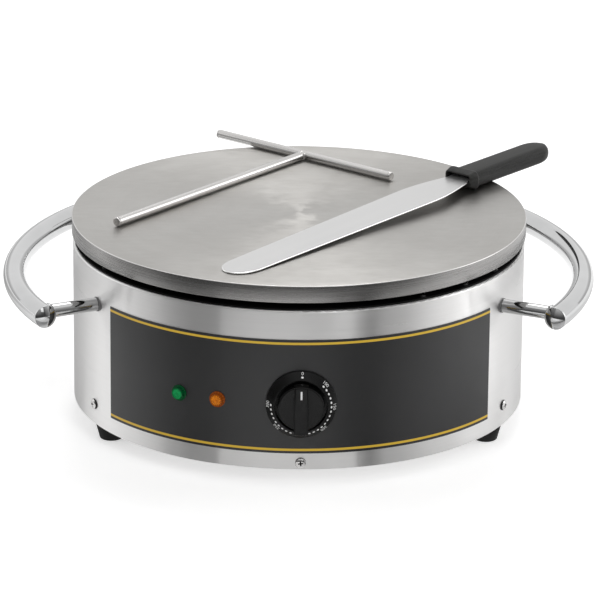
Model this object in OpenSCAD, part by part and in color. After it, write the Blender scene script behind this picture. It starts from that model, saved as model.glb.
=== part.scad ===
// Single round electric crepe griddle with its spreader and spatula.
// Millimetres, +Z up. The origin is on the counter, on the drum's axis; -Y is the front.

/* [Griddle plate] */
// Diameter of the cast plate
plate_d = 400; // [396:1:430]
// Thickness of the plate
plate_t = 15.3; // [12:0.1:22]
// Chamfer of the plate's edges
plate_chamfer = 0.9; // [0.3:0.1:2]
// Air gap between the drum and the plate
gap_h = 7.2; // [6:0.1:14]
// Thread radius of the plate's studs
stud_r = 4; // [3:0.5:5]
// Distance of the studs from the axis
stud_ring_r = 125; // [123:1:127]

/* [Drum] */
// Outer diameter of the drum
body_d = 398; // [394:1:410]
// Height of the drum
body_h = 142.5; // [136:0.5:190]
// Sheet thickness of the drum
wall = 1.2; // [0.8:0.1:2]
// Width of the inward flange at the drum's top
flange_w = 26; // [20:1:30]
// Sheet thickness of the base pan and the shield pan
pan_t = 1.5; // [1:0.1:2]
// Height of the base pan's rim
rim_h = 27; // [24:0.5:34]

/* [Feet] */
// Height of a rubber foot
foot_h = 16; // [12:0.5:24]
// Radius of a foot at the counter
foot_bottom_r = 10.5; // [9:0.5:12]
// Radius of a foot where it meets the base
foot_top_r = 14.2; // [12:0.1:14.5]
// Distance of the feet from the axis
foot_ring_r = 183; // [175:1:183]
// Angle of the front feet from the front
foot_angle = 63.6; // [50:0.1:70]

/* [Control panel] */
// Half of the panel's angle round the drum
panel_half_angle = 55; // [45:1:58]
// Lower edge of the panel above the counter
panel_low = 30.7; // [30:0.1:36]
// Height of the panel
panel_h = 102.1; // [96:0.1:106]
// Thickness of the panel
panel_t = 0.5; // [0.3:0.1:1]
// Height of the dial's axis above the counter
dial_z = 75.6; // [70:0.1:84]
// Height of the pilot lights above the counter
lamp_z = 75; // [60:0.5:90]
// Angle of the power light from the front
power_lamp_angle = -31.2; // [-34:0.1:-29]
// Angle of the heating light from the front
heat_lamp_angle = -20.8; // [-23:0.1:-19]
// Radius of a light's flange
lamp_flange_r = 7; // [6:0.1:8]
// Radius of a light's lens
lamp_lens_r = 5.5; // [4:0.1:5.8]
// Reach of a lens in front of the panel
lamp_reach = 4.4; // [3:0.1:6]

/* [Dial and knob] */
// Radius of the fixed dial ring
dial_r = 30; // [28:0.5:33]
// Reach of the dial ring in front of the panel
dial_reach = 6.8; // [5:0.1:8]
// Radius of the knob
knob_r = 20; // [18:0.5:21.5]
// Running gap between the knob and the dial ring
knob_gap = 2.5; // [1:0.1:3]
// Reach of the knob's disc in front of the panel
knob_disc_reach = 12.2; // [11:0.1:14]
// Reach of the knob's bar in front of the panel
knob_reach = 19.8; // [18:0.1:24]
// Width of the knob's bar
knob_bar_w = 12.4; // [9:0.1:14]
// Radius at which the ends of the knob's bar lie
knob_bar_end = 22.2; // [18:0.1:23]
// Radius of the thermostat's shaft
shaft_r = 3; // [2.5:0.1:3.5]

/* [Handles] */
// Radius of a handle tube
handle_tube_r = 10; // [8:0.5:12]
// Wall of a handle tube
handle_wall = 1.5; // [1:0.1:2.5]
// Distance of a handle tube's axis from the drum's wall
handle_reach = 51.5; // [46:0.5:58]
// Distance of the arc's centre past the axis
handle_shift = 18; // [15:0.5:20]
// Half of the angle that a handle spans
handle_half_angle = 31.8; // [31.3:0.1:34]
// How far back round the drum the middle of a handle lies, in degrees
handle_turn = 3.4; // [0:0.1:6]
// Height of the handles above the counter
handle_z = 128; // [122:0.5:134]
// Radius of a handle post
post_r = 6; // [4.5:0.1:7]
// Angle of a post on the handle's arc
post_angle = 29.1; // [20:0.1:29.6]

/* [Spreader] */
// Radius of the spreader's rods
rod_r = 4; // [3:0.1:5]
// Length of the spreader's cross rod
cross_len = 203; // [150:1:240]
// Reach of the spreader's handle from the cross rod's axis
spreader_len = 260; // [200:1:300]

/* [Spatula] */
// Length of the blade in front of the handle
blade_len = 314; // [280:1:340]
// Thickness of the blade
blade_t = 1.2; // [0.8:0.1:1.6]
// Length of the blade's round tip
blade_tip_len = 24; // [16:0.5:30]
// Half width of the blade at its round tip
blade_tip_w = 17.3; // [14:0.1:19]
// Half width of the blade at its widest
blade_wide_w = 21; // [19.5:0.5:25]
// Half width of the blade's neck
blade_neck_w = 12; // [9:0.5:12.5]
// Length of the spatula's handle
grip_len = 127; // [110:1:150]
// Width of the spatula's grip
grip_w = 28; // [24:0.5:34]
// Thickness of the spatula's grip
grip_t = 15.5; // [14:0.5:20]

/* [Hidden] */
$fn = 96;
fine = 720;                 // for cuts that follow the drum's surface

// Clearances that several pieces share
thread_clear = 0.05;  // between a screw and its thread
hole_clear = 0.3;     // between a screw and the hole it passes
run_clear = 0.05;     // between the turning shaft and its bush
lie_clear = 0.3;      // under a tool that lies on the plate
seat_clear = 0.1;     // between nested sheets
film_t = 0.05;        // glue film under the control panel

// Levels above the counter
body_low = foot_h;
body_top = body_low + body_h;
plate_low = body_top + gap_h;
plate_top = plate_low + plate_t;
base_floor = body_low + pan_t;

// Radii
body_r = body_d / 2;
inner_r = body_r - wall;
panel_low_r = body_r + film_t;
panel_r = panel_low_r + panel_t;
plate_r = plate_d / 2;
base_r = inner_r - seat_clear;
rim_inner_r = base_r - pan_t;

// Plate, element and shield pan
element_r = 4;
element_half_w = 25;        // from the ring of studs to the middle of either loop
element_outer_r = stud_ring_r + element_half_w;
element_inner_r = stud_ring_r - element_half_w;
element_open = 20;          // half angle left open at the rear
leg_bend_r = 10;
leg_low = 98;               // lower end of the element's legs
element_z = plate_low - element_r;
clamp_t = 3;
clamp_w = 25;
clamp_top = plate_low - 2 * element_r;
clamp_low = clamp_top - clamp_t;
clamp_past = 10;            // how far the clamp reaches past the outer loop
clamp_arm = element_outer_r + clamp_past;
clamp_bolt_r = 4;
clamp_hole_r = clamp_bolt_r + hole_clear;
pad_t = 21;
pad_gap = 1;                // round the insulation pad
pad_to_clamp = 3;
pan_floor_top = clamp_low - pad_t - pad_to_clamp;
pan_floor_low = pan_floor_top - pan_t;
pan_wall_r = body_r - flange_w - seat_clear;
pan_flange_inset = 1.8;     // keeps the pan's flange off the drum's rounded lip
pan_flange_r = body_r - pan_flange_inset;
spacer_r = 7;
spacer_hole_r = stud_r + hole_clear;
stud_bite = 9;              // how deep a stud goes into the plate
stud_angles = [45, 135, 225, 315];
bush_r = 8;
bush_step = 1.5;            // width of a bush's flange
bush_neck_r = bush_r - bush_step;
bush_flange_t = 2;
bush_drop = 4;              // how far a bush's neck reaches below its flange
bush_rise = 2;              // how far it reaches above the pan's floor
bush_len = bush_drop + bush_flange_t + pan_t + bush_rise;
pin_r = 1.6;
pin_len = 12;
shield_screw_r = 1.8;
shield_head_r = 3.2;
shield_head_h = 1.8;
shield_screw_past = 5;      // how far a shield screw reaches below the drum's flange
shield_screw_in = 7.5;      // how far inside the drum's outside the ring of shield screws lies
shield_screw_ring_r = body_r - shield_screw_in;
shield_screw_angles = [32.5, 47, 61, -61, 119, 150, -150, -119];

// Screws and nuts
side_screw_r = 2;
side_screw_up = 18;         // height of the side screws above the drum's lower edge
base_screw_up = 6;
side_screw_z = body_low + side_screw_up;
base_screw_z = body_low + base_screw_up;
side_screw_angles = [foot_angle, 180 - foot_angle, foot_angle - 180, -foot_angle];
base_screw_angles = [0, 180];
head_r = 4.6;
head_h = 2.4;
nut_ratio = 1.85;           // a nut's corner radius over its screw's radius
clinch_nut_r = 4.5;
nut_h = 4;
shank_past = 1;             // how far a screw reaches past its nut
cut_past = 5;               // how far a cutting shape passes a sheet on either side

// Thermostat, dial and knob
thermo_w = 44;
thermo_h = 44;
thermo_d = 34;
thermo_front = sqrt(inner_r * inner_r - thermo_w * thermo_w / 4) - seat_clear;
bush_out_r = 5;
dial_floor = 1.5;
dial_edge = 1.8;
dial_inner_r = knob_r + knob_gap;
dial_lip_r = dial_inner_r + 1;
bush_nut_r = 8;
bush_nut_h = 2.2;
bush_past = 0.3;            // how far the bush reaches past its nut
knob_lift = 0.5;            // between the knob and the dial ring's floor
bush_reach = dial_floor + bush_nut_h + bush_past;
knob_back = dial_floor + knob_lift;
knob_skin = 2.2;
knob_wall = 2;
knob_cavity_r = knob_r - knob_wall;
hub_r = 5.6;
hub_back = bush_reach + knob_lift;
shaft_in_bar = 2.5;         // how far the shaft reaches into the knob's bar
shaft_reach = knob_disc_reach + shaft_in_bar;
shaft_flat = 2.2;
shaft_inside = 12;
pointer_w = 1.5;
pointer_len = 7.4;
pointer_top = 18.2;
pointer_depth = 0.5;

// Lamps
lamp_edge = 0.6;            // chamfer of a lens's front edge
lamp_stem_r = 4.8;
lamp_hole_r = lamp_stem_r + seat_clear;
lamp_flange_t = 1.4;
lamp_body_r = 6;
lamp_body_len = 22;
lamp_stem_len = 6;

// Handles
handle_arc_r = body_r + handle_reach + handle_shift;
handle_sides = [handle_turn, 180 - handle_turn];   // where the handles' middles lie
post_hole_r = 3;
post_screw_r = post_hole_r - thread_clear;
washer_over = 0.4;          // how far a washer stands out round its post
washer_r = post_r + washer_over;
washer_t = 1;
post_start = (handle_shift * cos(post_angle)
              + sqrt(pow(handle_shift * cos(post_angle), 2) + body_r * body_r
                     - handle_shift * handle_shift));
post_len = handle_arc_r - handle_tube_r - post_start - washer_t;
post_bore_len = post_len * 0.45;
cap_dome = 3;               // rise of a handle's domed end
cap_ball_r = (handle_tube_r * handle_tube_r + cap_dome * cap_dome) / (2 * cap_dome);
cap_plug = 7;
cap_plug_r = handle_tube_r - handle_wall - seat_clear;

// Gland and terminals
gland_bore_r = 4.5;         // in the cap, round the cord
gland_body_bore_r = 6.5;
gland_thread_r = 9.8;
gland_hex_r = 13;
gland_over_rim = 2;         // between the gland's nut and the base pan's rim
gland_z = body_low + rim_h + gland_hex_r + gland_over_rim;
gland_hex_t = 5;
gland_cap_r = 10.5;
gland_nose_r = 7.5;
gland_cap_len = 11;         // straight part of the cap
gland_out = 24.5;
gland_in = 11;
gland_nut_t = 5;
block_size = [52, 22, 20];
block_y = 138;
earth_pos = [48, 132];
earth_r = 2.5;
earth_nut_h = 3;
earth_top = base_floor + 4 * earth_nut_h;

// Spreader as it lies on the plate
joint_x = 6.5;
joint_y = 158.2;
spreader_joint = [joint_x, joint_y];
spreader_turn = 230.2;
rod_chamfer = 0.6;

// Spatula as it lies on the plate
tip_x = -63.0;
tip_y = -166.8;
spatula_tip = [tip_x, tip_y];
spatula_turn = 49.0;
blade_slope = 1.45;
blade_wide_at = 255;
tang_len = 58;
bolster_len = 12;
bolster_side = 2.5;         // how far the bolster stands out at the grip's sides
bolster_rise = 1.5;         // how far it stands out on top
mouth_side = 0.8;           // room beside the blade's neck in the grip's mouth
mouth_w = 2 * (blade_neck_w + mouth_side);
mouth_h = 6;
mouth_deep = 9;

// Wires
wire_r = 1.3;
wire_sides = 8;
wire_steps = 14;
wire_rise = 10;             // height of a wire's end above the base pan or the dial's axis
wire_side = 14;             // distance of a wire's end from the middle
wire_reach = 50;            // how far a wire runs straight from its end before it bends
long_reach = 120;
short_reach = 14;
lamp_wire_r = 0.9;
lamp_wire_rise = 8;

// ---------- helpers ----------

// Puts a shape on the drum: x to the right, y up, z outward from the axis
module on_drum(angle, z) {
  rotate([0, 0, angle])
    translate([0, 0, z])
      rotate([90, 0, 0])
        children();
}

module ring(r_out, r_in, h) {
  difference() {
    cylinder(r = r_out, h = h);
    translate([0, 0, -1])
      cylinder(r = r_in, h = h + 2);
  }
}

// Screw whose head stands on z = 0, with a cross recess; the shank goes down
module pan_screw(shank_r, shank_len, r = head_r, h = head_h) {
  slot_w = r * 0.28;
  slot_len = r * 1.15;
  difference() {
    union() {
      cylinder(r = r, h = h * 0.55);
      translate([0, 0, h * 0.55])
        cylinder(r1 = r, r2 = r * 0.68, h = h * 0.45);
      translate([0, 0, -shank_len])
        cylinder(r = shank_r, h = shank_len);
    }
    for (turn = [0, 90])
      rotate([0, 0, turn])
        translate([-slot_len / 2, -slot_w / 2, h * 0.4])
          cube([slot_len, slot_w, h]);
  }
}

module hex_nut(corner_r, h, bore_r) {
  difference() {
    cylinder(r = corner_r, h = h, $fn = 6);
    translate([0, 0, -1])
      cylinder(r = bore_r, h = h + 2);
  }
}

// Upright bar of a rounded rectangle, centred on x and y
module round_rect(w, t, r) {
  square([w - 2 * r, t], center = true);
  square([w, t - 2 * r], center = true);
  for (sx = [-1, 1])
    for (sy = [-1, 1])
      translate([sx * (w / 2 - r), sy * (t / 2 - r)])
        circle(r = r);
}

function on_curve(a, b, c, d, t) =
  pow(1 - t, 3) * a + 3 * pow(1 - t, 2) * t * b + 3 * (1 - t) * t * t * c + t * t * t * d;

function unit(v) = v / norm(v);

// Points of a smooth curve from a to d that leaves towards b and arrives from c
function curve(a, b, c, d) =
  let (p = a + 0.5 * unit(b - a), q = d - 0.5 * unit(d - c))
    concat([a], [for (i = [0 : wire_steps]) on_curve(p, b, c, q, i / wire_steps)], [d]);

function heading(path, i) = unit(path[min(i + 1, len(path) - 1)] - path[max(i - 1, 0)]);

function square_to(v, h) = unit(v - (v * h) * h);

// A direction square to the path at every point, carried on from point to point
function sides_along(path, i, before) =
  i == len(path) ? [] :
    let (side = square_to(before, heading(path, i)))
      concat([side], sides_along(path, i + 1, side));

function wire_ring(centre, side, h, r) =
  [for (k = [0 : wire_sides - 1])
    centre + r * (cos(k * 360 / wire_sides) * side + sin(k * 360 / wire_sides) * cross(h, side))];

// A round wire along a path of points
module wire(path, r = wire_r) {
  last = len(path) - 1;
  sides = sides_along(path, 0, [0.36, 0.48, 0.8]);
  points = [for (i = [0 : last]) each wire_ring(path[i], sides[i], heading(path, i), r)];
  walls = [
    for (i = [0 : last - 1]) for (k = [0 : wire_sides - 1])
      [i * wire_sides + (k + 1) % wire_sides, i * wire_sides + k,
       (i + 1) * wire_sides + k, (i + 1) * wire_sides + (k + 1) % wire_sides]
  ];
  first_cap = [for (k = [0 : wire_sides - 1]) k];
  last_cap = [for (k = [wire_sides - 1 : -1 : 0]) last * wire_sides + k];
  polyhedron(points = points, faces = concat([first_cap, last_cap], walls));
}

// ---------- griddle plate ----------

module griddle_plate() {
  color([0.62, 0.61, 0.58])
    difference() {
      rotate_extrude()
        polygon([
          [0, plate_low], [plate_r - plate_chamfer, plate_low],
          [plate_r, plate_low + plate_chamfer], [plate_r, plate_top - plate_chamfer],
          [plate_r - plate_chamfer, plate_top], [0, plate_top]
        ]);
      for (a = stud_angles)
        rotate([0, 0, a])
          translate([stud_ring_r, 0, plate_low - 1])
            cylinder(r = stud_r + thread_clear, h = stud_bite + 1.2);
      translate([0, 0, plate_low - 1])
        cylinder(r = clamp_bolt_r + thread_clear, h = stud_bite + 1.2);
    }
}

stud_nut_h = 6.5;
stud_low = pan_floor_low - stud_nut_h - 5.5;

module plate_studs() {
  color("silver")
    for (a = stud_angles)
      rotate([0, 0, a])
        translate([stud_ring_r, 0, stud_low])
          cylinder(r = stud_r, h = plate_low + stud_bite - stud_low);
}

module plate_spacers() {
  color("silver")
    for (a = stud_angles)
      rotate([0, 0, a])
        translate([stud_ring_r, 0, pan_floor_top])
          ring(spacer_r, spacer_hole_r, plate_low - pan_floor_top);
}

module stud_nuts() {
  color("silver")
    for (a = stud_angles)
      rotate([0, 0, a])
        translate([stud_ring_r, 0, pan_floor_low - stud_nut_h])
          hex_nut(stud_r * nut_ratio, stud_nut_h, stud_r + thread_clear);
}

// ---------- heating element ----------

element_start = 90 + element_open;   // where the loop's turn-back lies
element_span = 360 - 2 * element_open;
leg_angle = 90 - element_open;

module element_arc(r) {
  rotate([0, 0, element_start])
    rotate_extrude(angle = element_span)
      translate([r, 0])
        circle(r = element_r);
}

// Bend from the end of an arc down to its upright leg
module element_leg(r) {
  rotate([0, 0, leg_angle])
    translate([r, 0, 0]) {
      translate([0, 0, -leg_bend_r])
        rotate([90, 0, 90])
          rotate_extrude(angle = 90)
            translate([leg_bend_r, 0])
              circle(r = element_r);
      translate([0, leg_bend_r, leg_low - element_z])
        cylinder(r = element_r, h = element_z - leg_bend_r - leg_low);
    }
}

module heating_element() {
  color([0.25, 0.25, 0.24])
    translate([0, 0, element_z]) {
      element_arc(element_outer_r);
      element_arc(element_inner_r);
      rotate([0, 0, element_start])
        translate([stud_ring_r, 0, 0])
          rotate([0, 0, 180])
            rotate_extrude(angle = 180)
              translate([element_outer_r - stud_ring_r, 0])
                circle(r = element_r);
      element_leg(element_outer_r);
      element_leg(element_inner_r);
    }
}

// Centres an upright shape on each of the element's two legs
module at_legs(z) {
  for (r = [element_outer_r, element_inner_r])
    rotate([0, 0, leg_angle])
      translate([r, leg_bend_r, z])
        children();
}

module element_clamp() {
  color("silver")
    difference() {
      union() {
        for (a = [0, 90])
          rotate([0, 0, a])
            translate([-clamp_arm, -clamp_w / 2, clamp_low])
              cube([2 * clamp_arm, clamp_w, clamp_t]);
        translate([0, 0, clamp_low])
          cylinder(r = clamp_w, h = clamp_t);
      }
      translate([0, 0, clamp_low - 1])
        cylinder(r = clamp_hole_r, h = clamp_t + 2);
    }
}

clamp_sleeve_h = plate_low - clamp_top;

module clamp_bolt() {
  head_t = 5.3;
  color("silver") {
    translate([0, 0, clamp_low - head_t])
      cylinder(r = clamp_bolt_r * nut_ratio, h = head_t, $fn = 6);
    translate([0, 0, clamp_low])
      cylinder(r = clamp_bolt_r, h = clamp_t + clamp_sleeve_h + stud_bite);
  }
}

module element_bushes() {
  color("white")
    at_legs(pan_floor_low - bush_flange_t - bush_drop)
      difference() {
        union() {
          cylinder(r = bush_neck_r, h = bush_len);
          translate([0, 0, bush_drop])
            cylinder(r = bush_r, h = bush_flange_t);
        }
        translate([0, 0, -1])
          cylinder(r = element_r + seat_clear, h = bush_len + 2);
      }
}

module element_pins() {
  color("gold")
    at_legs(leg_low - pin_len)
      cylinder(r = pin_r, h = pin_len);
}

// ---------- temperature sensor ----------

bulb_r = 3;
bulb_len = 80;
bulb_x = 60;
bulb_z = plate_low - bulb_r;
bulb_start_y = -45;

module sensor_bulb() {
  color([0.8, 0.5, 0.3])
    translate([bulb_x, bulb_start_y, bulb_z])
      rotate([-90, 0, 0])
        cylinder(r = bulb_r, h = bulb_len);
}

module bulb_clip() {
  clip_w = 14;
  clip_t = 1;
  y = bulb_start_y + bulb_len * 0.4;
  low = bulb_z - bulb_r - clip_t;
  color("silver")
    difference() {
      translate([bulb_x - bulb_r - clip_t, y, low])
        cube([2 * (bulb_r + clip_t), clip_w, plate_low - low]);
      translate([bulb_x - bulb_r, y - 1, bulb_z - bulb_r])
        cube([2 * bulb_r, clip_w + 2, 3 * bulb_r]);
    }
}

capillary_hole = [bulb_x, bulb_start_y - 23];
capillary_hole_r = 3;

module capillary_tube() {
  start = [0, thermo_back, dial_z + 6];
  hole_top = [capillary_hole[0], capillary_hole[1], clamp_low - 1];
  hole_low = [capillary_hole[0], capillary_hole[1], pan_floor_low - 6];
  bulb_end = [bulb_x, bulb_start_y, bulb_z];
  color([0.8, 0.5, 0.3])
    wire(concat(
      curve(start, start + [0, 25, 0], hole_low - [0, 0, 22], hole_low),
      curve(hole_top, hole_top + [0, 0, 7], bulb_end - [0, 8, 0], bulb_end)
    ), 1);
}

// ---------- shield pan and insulation ----------

module insulation_pad() {
  color([0.93, 0.92, 0.88])
    difference() {
      translate([0, 0, pan_floor_top])
        cylinder(r = pan_wall_r - pan_t - pad_gap, h = pad_t);
      for (a = stud_angles)
        rotate([0, 0, a])
          translate([stud_ring_r, 0, pan_floor_top - 1])
            cylinder(r = spacer_r + hole_clear, h = pad_t + 2);
      translate([0, 0, pan_floor_top - 1])
        cylinder(r = clamp_w / 2, h = pad_t + 2);
      at_legs(pan_floor_top - 1)
        cylinder(r = bush_r, h = pad_t + 2);
      translate([capillary_hole[0], capillary_hole[1], pan_floor_top - 1])
        cylinder(r = capillary_hole_r, h = pad_t + 2);
    }
}

module shield_pan() {
  color([0.06, 0.06, 0.06])
    difference() {
      union() {
        translate([0, 0, body_top])
          ring(pan_flange_r, pan_wall_r - pan_t, pan_t);
        translate([0, 0, pan_floor_low])
          ring(pan_wall_r, pan_wall_r - pan_t, body_top - pan_floor_low);
        translate([0, 0, pan_floor_low])
          cylinder(r = pan_wall_r - pan_t, h = pan_t);
      }
      for (a = stud_angles)
        rotate([0, 0, a])
          translate([stud_ring_r, 0, pan_floor_low - 1])
            cylinder(r = spacer_hole_r, h = pan_t + 2);
      at_legs(pan_floor_low - 1)
        cylinder(r = bush_neck_r + seat_clear, h = pan_t + 2);
      translate([capillary_hole[0], capillary_hole[1], pan_floor_low - 1])
        cylinder(r = capillary_hole_r, h = pan_t + 2);
      for (a = shield_screw_angles)
        rotate([0, 0, a])
          translate([0, -shield_screw_ring_r, body_top - 1])
            cylinder(r = shield_screw_r + hole_clear, h = pan_t + 2);
    }
}

module shield_screws() {
  color([0.75, 0.75, 0.73])
    for (a = shield_screw_angles)
      rotate([0, 0, a])
        translate([0, -shield_screw_ring_r, body_top + pan_t])
          pan_screw(shield_screw_r, pan_t + wall + shield_screw_past, shield_head_r, shield_head_h);
}

cutout_at = [-70, 20, pan_floor_low];
cutout_r = 8;
cutout_h = 9;
cutout_tab = 8;
cutout_tab_w = 6;
cutout_tab_t = 0.8;
cutout_pitch = 4;

module safety_cutout() {
  color([0.15, 0.13, 0.12])
    translate(cutout_at) {
      translate([0, 0, -cutout_h])
        cylinder(r = cutout_r, h = cutout_h);
      for (s = [-1, 1])
        translate([s * cutout_pitch - cutout_tab_t / 2, -cutout_tab_w / 2, -cutout_h - cutout_tab])
          cube([cutout_tab_t, cutout_tab_w, cutout_tab]);
    }
}

// ---------- drum ----------

lip_r = 1.6;                // outer radius of the drum's rounded top edge

// Pressed ring that closes the top of the rolled wall
module drum_top_ring() {
  color([0.8, 0.8, 0.79])
    difference() {
      rotate_extrude() {
        translate([body_r - flange_w, body_top - wall])
          square([flange_w - lip_r, wall]);
        intersection() {
          translate([body_r - lip_r, body_top - lip_r])
            difference() {
              circle(r = lip_r);
              circle(r = lip_r - wall);
            }
          translate([body_r - lip_r, body_top - lip_r])
            square([lip_r, lip_r]);
        }
      }
      for (a = shield_screw_angles)
        rotate([0, 0, a])
          translate([0, -shield_screw_ring_r, body_top - wall - 1])
            cylinder(r = shield_screw_r + thread_clear, h = wall + 2);
    }
}

module body_shell() {
  color([0.8, 0.8, 0.79])
    difference() {
      translate([0, 0, body_low])
        ring(body_r, inner_r, body_h - lip_r);
      on_drum(0, dial_z)
        translate([0, 0, inner_r - cut_past])
          cylinder(r = bush_out_r + seat_clear, h = 2 * cut_past);
      for (a = [power_lamp_angle, heat_lamp_angle])
        on_drum(a, lamp_z)
          translate([0, 0, inner_r - cut_past])
            cylinder(r = lamp_hole_r, h = 2 * cut_past);
      at_posts()
        translate([0, 0, post_start - cut_past])
          cylinder(r = post_hole_r + hole_clear, h = 2 * cut_past);
      for (a = side_screw_angles)
        on_drum(a, side_screw_z)
          translate([0, 0, inner_r - cut_past])
            cylinder(r = side_screw_r + hole_clear, h = 2 * cut_past);
      for (a = base_screw_angles)
        on_drum(a, base_screw_z)
          translate([0, 0, inner_r - cut_past])
            cylinder(r = side_screw_r + hole_clear, h = 2 * cut_past);
      on_drum(180, gland_z)
        translate([0, 0, inner_r - cut_past])
          cylinder(r = gland_thread_r + seat_clear, h = 2 * cut_past);
    }
}

module control_panel() {
  color([0.2, 0.2, 0.21])
    difference() {
      rotate([0, 0, -90 - panel_half_angle])
        rotate_extrude(angle = 2 * panel_half_angle)
          translate([panel_low_r, panel_low])
            square([panel_t, panel_h]);
      on_drum(0, dial_z)
        translate([0, 0, body_r - cut_past])
          cylinder(r = bush_out_r + seat_clear, h = 2 * cut_past);
      for (a = [power_lamp_angle, heat_lamp_angle])
        on_drum(a, lamp_z)
          translate([0, 0, body_r - cut_past])
            cylinder(r = lamp_hole_r, h = 2 * cut_past);
    }
}

// ---------- dial, thermostat and knob ----------

module dial_ring() {
  sink = 3.5;
  color([0.07, 0.07, 0.07])
    difference() {
      on_drum(0, dial_z)
        translate([0, 0, panel_r])
          rotate_extrude()
            polygon([
              [bush_out_r + seat_clear, -sink], [dial_r, -sink], [dial_r, dial_edge],
              [dial_lip_r, dial_reach], [dial_inner_r, dial_reach],
              [dial_inner_r, dial_floor], [bush_out_r + seat_clear, dial_floor]
            ]);
      cylinder(r = panel_r, h = plate_low, $fn = fine);
    }
}

module thermostat_body() {
  color([0.85, 0.82, 0.7])
    difference() {
      on_drum(0, dial_z) {
        translate([-thermo_w / 2, -thermo_h / 2, thermo_front - thermo_d])
          cube([thermo_w, thermo_h, thermo_d]);
        translate([0, 0, thermo_front])
          cylinder(r = bush_out_r, h = panel_r + bush_reach - thermo_front);
      }
      on_drum(0, dial_z)
        translate([0, 0, thermo_front - shaft_inside - lie_clear])
          cylinder(r = shaft_r + run_clear, h = shaft_inside + panel_r + bush_reach);
    }
}

module thermostat_nut() {
  color("silver")
    on_drum(0, dial_z)
      translate([0, 0, panel_r + dial_floor])
        hex_nut(bush_nut_r, bush_nut_h, bush_out_r + thread_clear);
}

shaft_back = thermo_front - shaft_inside;
shaft_front = panel_r + shaft_reach;

module thermostat_shaft() {
  color("silver")
    on_drum(0, dial_z)
      difference() {
        translate([0, 0, shaft_back])
          cylinder(r = shaft_r, h = shaft_front - shaft_back);
        translate([-shaft_r, shaft_flat, panel_r + hub_back])
          cube([2 * shaft_r, shaft_r, shaft_reach]);
      }
}

// The D-shaped space that the shaft fills inside the knob
module shaft_seat() {
  difference() {
    translate([0, 0, hub_back - 1])
      cylinder(r = shaft_r, h = shaft_reach - hub_back + 1);
    translate([-shaft_r, shaft_flat, hub_back])
      cube([2 * shaft_r, shaft_r, shaft_reach]);
  }
}

module pointer_shape() {
  translate([-pointer_w / 2, pointer_top - pointer_len, knob_reach - pointer_depth])
    cube([pointer_w, pointer_len, pointer_depth]);
}

module knob() {
  edge = 1;
  bar_edge = 1.2;
  half = knob_bar_w / 2;
  color([0.1, 0.1, 0.1])
    on_drum(0, dial_z)
      translate([0, 0, panel_r])
        difference() {
          union() {
            rotate_extrude()
              polygon([
                [0, knob_back], [knob_r, knob_back], [knob_r - 0.4, knob_disc_reach - edge],
                [knob_r - 0.4 - edge, knob_disc_reach], [0, knob_disc_reach]
              ]);
            intersection() {
              rotate([90, 0, 0])
                translate([0, 0, -knob_bar_end])
                  linear_extrude(2 * knob_bar_end)
                    polygon([
                      [-half, knob_disc_reach - 2], [half, knob_disc_reach - 2],
                      [half - 0.3, knob_reach - bar_edge], [half - bar_edge, knob_reach],
                      [bar_edge - half, knob_reach], [0.3 - half, knob_reach - bar_edge]
                    ]);
              cylinder(r = knob_bar_end, h = knob_reach + 1);
            }
          }
          difference() {
            translate([0, 0, knob_back - 1])
              cylinder(r = knob_cavity_r, h = knob_disc_reach - knob_skin - knob_back + 1);
            translate([0, 0, hub_back])
              cylinder(r = hub_r, h = knob_disc_reach);
          }
          shaft_seat();
          pointer_shape();
        }
}

module knob_pointer() {
  color("white")
    on_drum(0, dial_z)
      translate([0, 0, panel_r])
        pointer_shape();
}

// ---------- pilot lights ----------

module lens(angle) {
  sink = 0.6;
  difference() {
    on_drum(angle, lamp_z)
      translate([0, 0, panel_r]) {
        translate([0, 0, -sink])
          cylinder(r = lamp_flange_r, h = sink + lamp_flange_t);
        translate([0, 0, lamp_flange_t])
          cylinder(r = lamp_lens_r, h = lamp_reach - lamp_flange_t - lamp_edge);
        translate([0, 0, lamp_reach - lamp_edge])
          cylinder(r1 = lamp_lens_r, r2 = lamp_lens_r - lamp_edge, h = lamp_edge);
      }
    cylinder(r = panel_r, h = plate_low, $fn = fine);
  }
  on_drum(angle, lamp_z)
    translate([0, 0, inner_r - lamp_stem_len])
      cylinder(r = lamp_stem_r, h = panel_r - inner_r + lamp_stem_len + lamp_flange_t / 2);
}

module power_lens() {
  color([0, 0.5, 0.22])
    lens(power_lamp_angle);
}

module heating_lens() {
  color([0.85, 0.42, 0.08])
    lens(heat_lamp_angle);
}

module lamp_body(angle) {
  on_drum(angle, lamp_z) {
    translate([0, 0, inner_r - lamp_stem_len - lamp_body_len])
      cylinder(r = lamp_body_r, h = lamp_body_len);
    translate([0, 0, inner_r - lamp_stem_len])
      ring(lamp_body_r, lamp_stem_r + thread_clear, lamp_stem_len - lie_clear);
  }
}

module power_lamp_body() {
  color("ivory")
    lamp_body(power_lamp_angle);
}

module heating_lamp_body() {
  color("ivory")
    lamp_body(heat_lamp_angle);
}

// ---------- handles ----------

// Puts a shape at each post: z runs outward along the post from the handle arc's centre
module at_posts() {
  for (side = handle_sides)
    for (a = [-post_angle, post_angle])
      rotate([0, 0, side])
        translate([-handle_shift, 0, handle_z])
          rotate([0, 0, a])
            rotate([0, 90, 0])
              children();
}

module handle_arc(r, half_angle) {
  rotate([0, 0, -half_angle])
    rotate_extrude(angle = 2 * half_angle)
      translate([handle_arc_r, 0])
        circle(r = r);
}

module handle_tube() {
  translate([-handle_shift, 0, handle_z])
    difference() {
      handle_arc(handle_tube_r, handle_half_angle);
      handle_arc(handle_tube_r - handle_wall, handle_half_angle + 1);
    }
}

module handle_right() {
  color([0.85, 0.85, 0.86])
    rotate([0, 0, handle_sides[0]])
      handle_tube();
}

module handle_left() {
  color([0.85, 0.85, 0.86])
    rotate([0, 0, handle_sides[1]])
      handle_tube();
}

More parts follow.
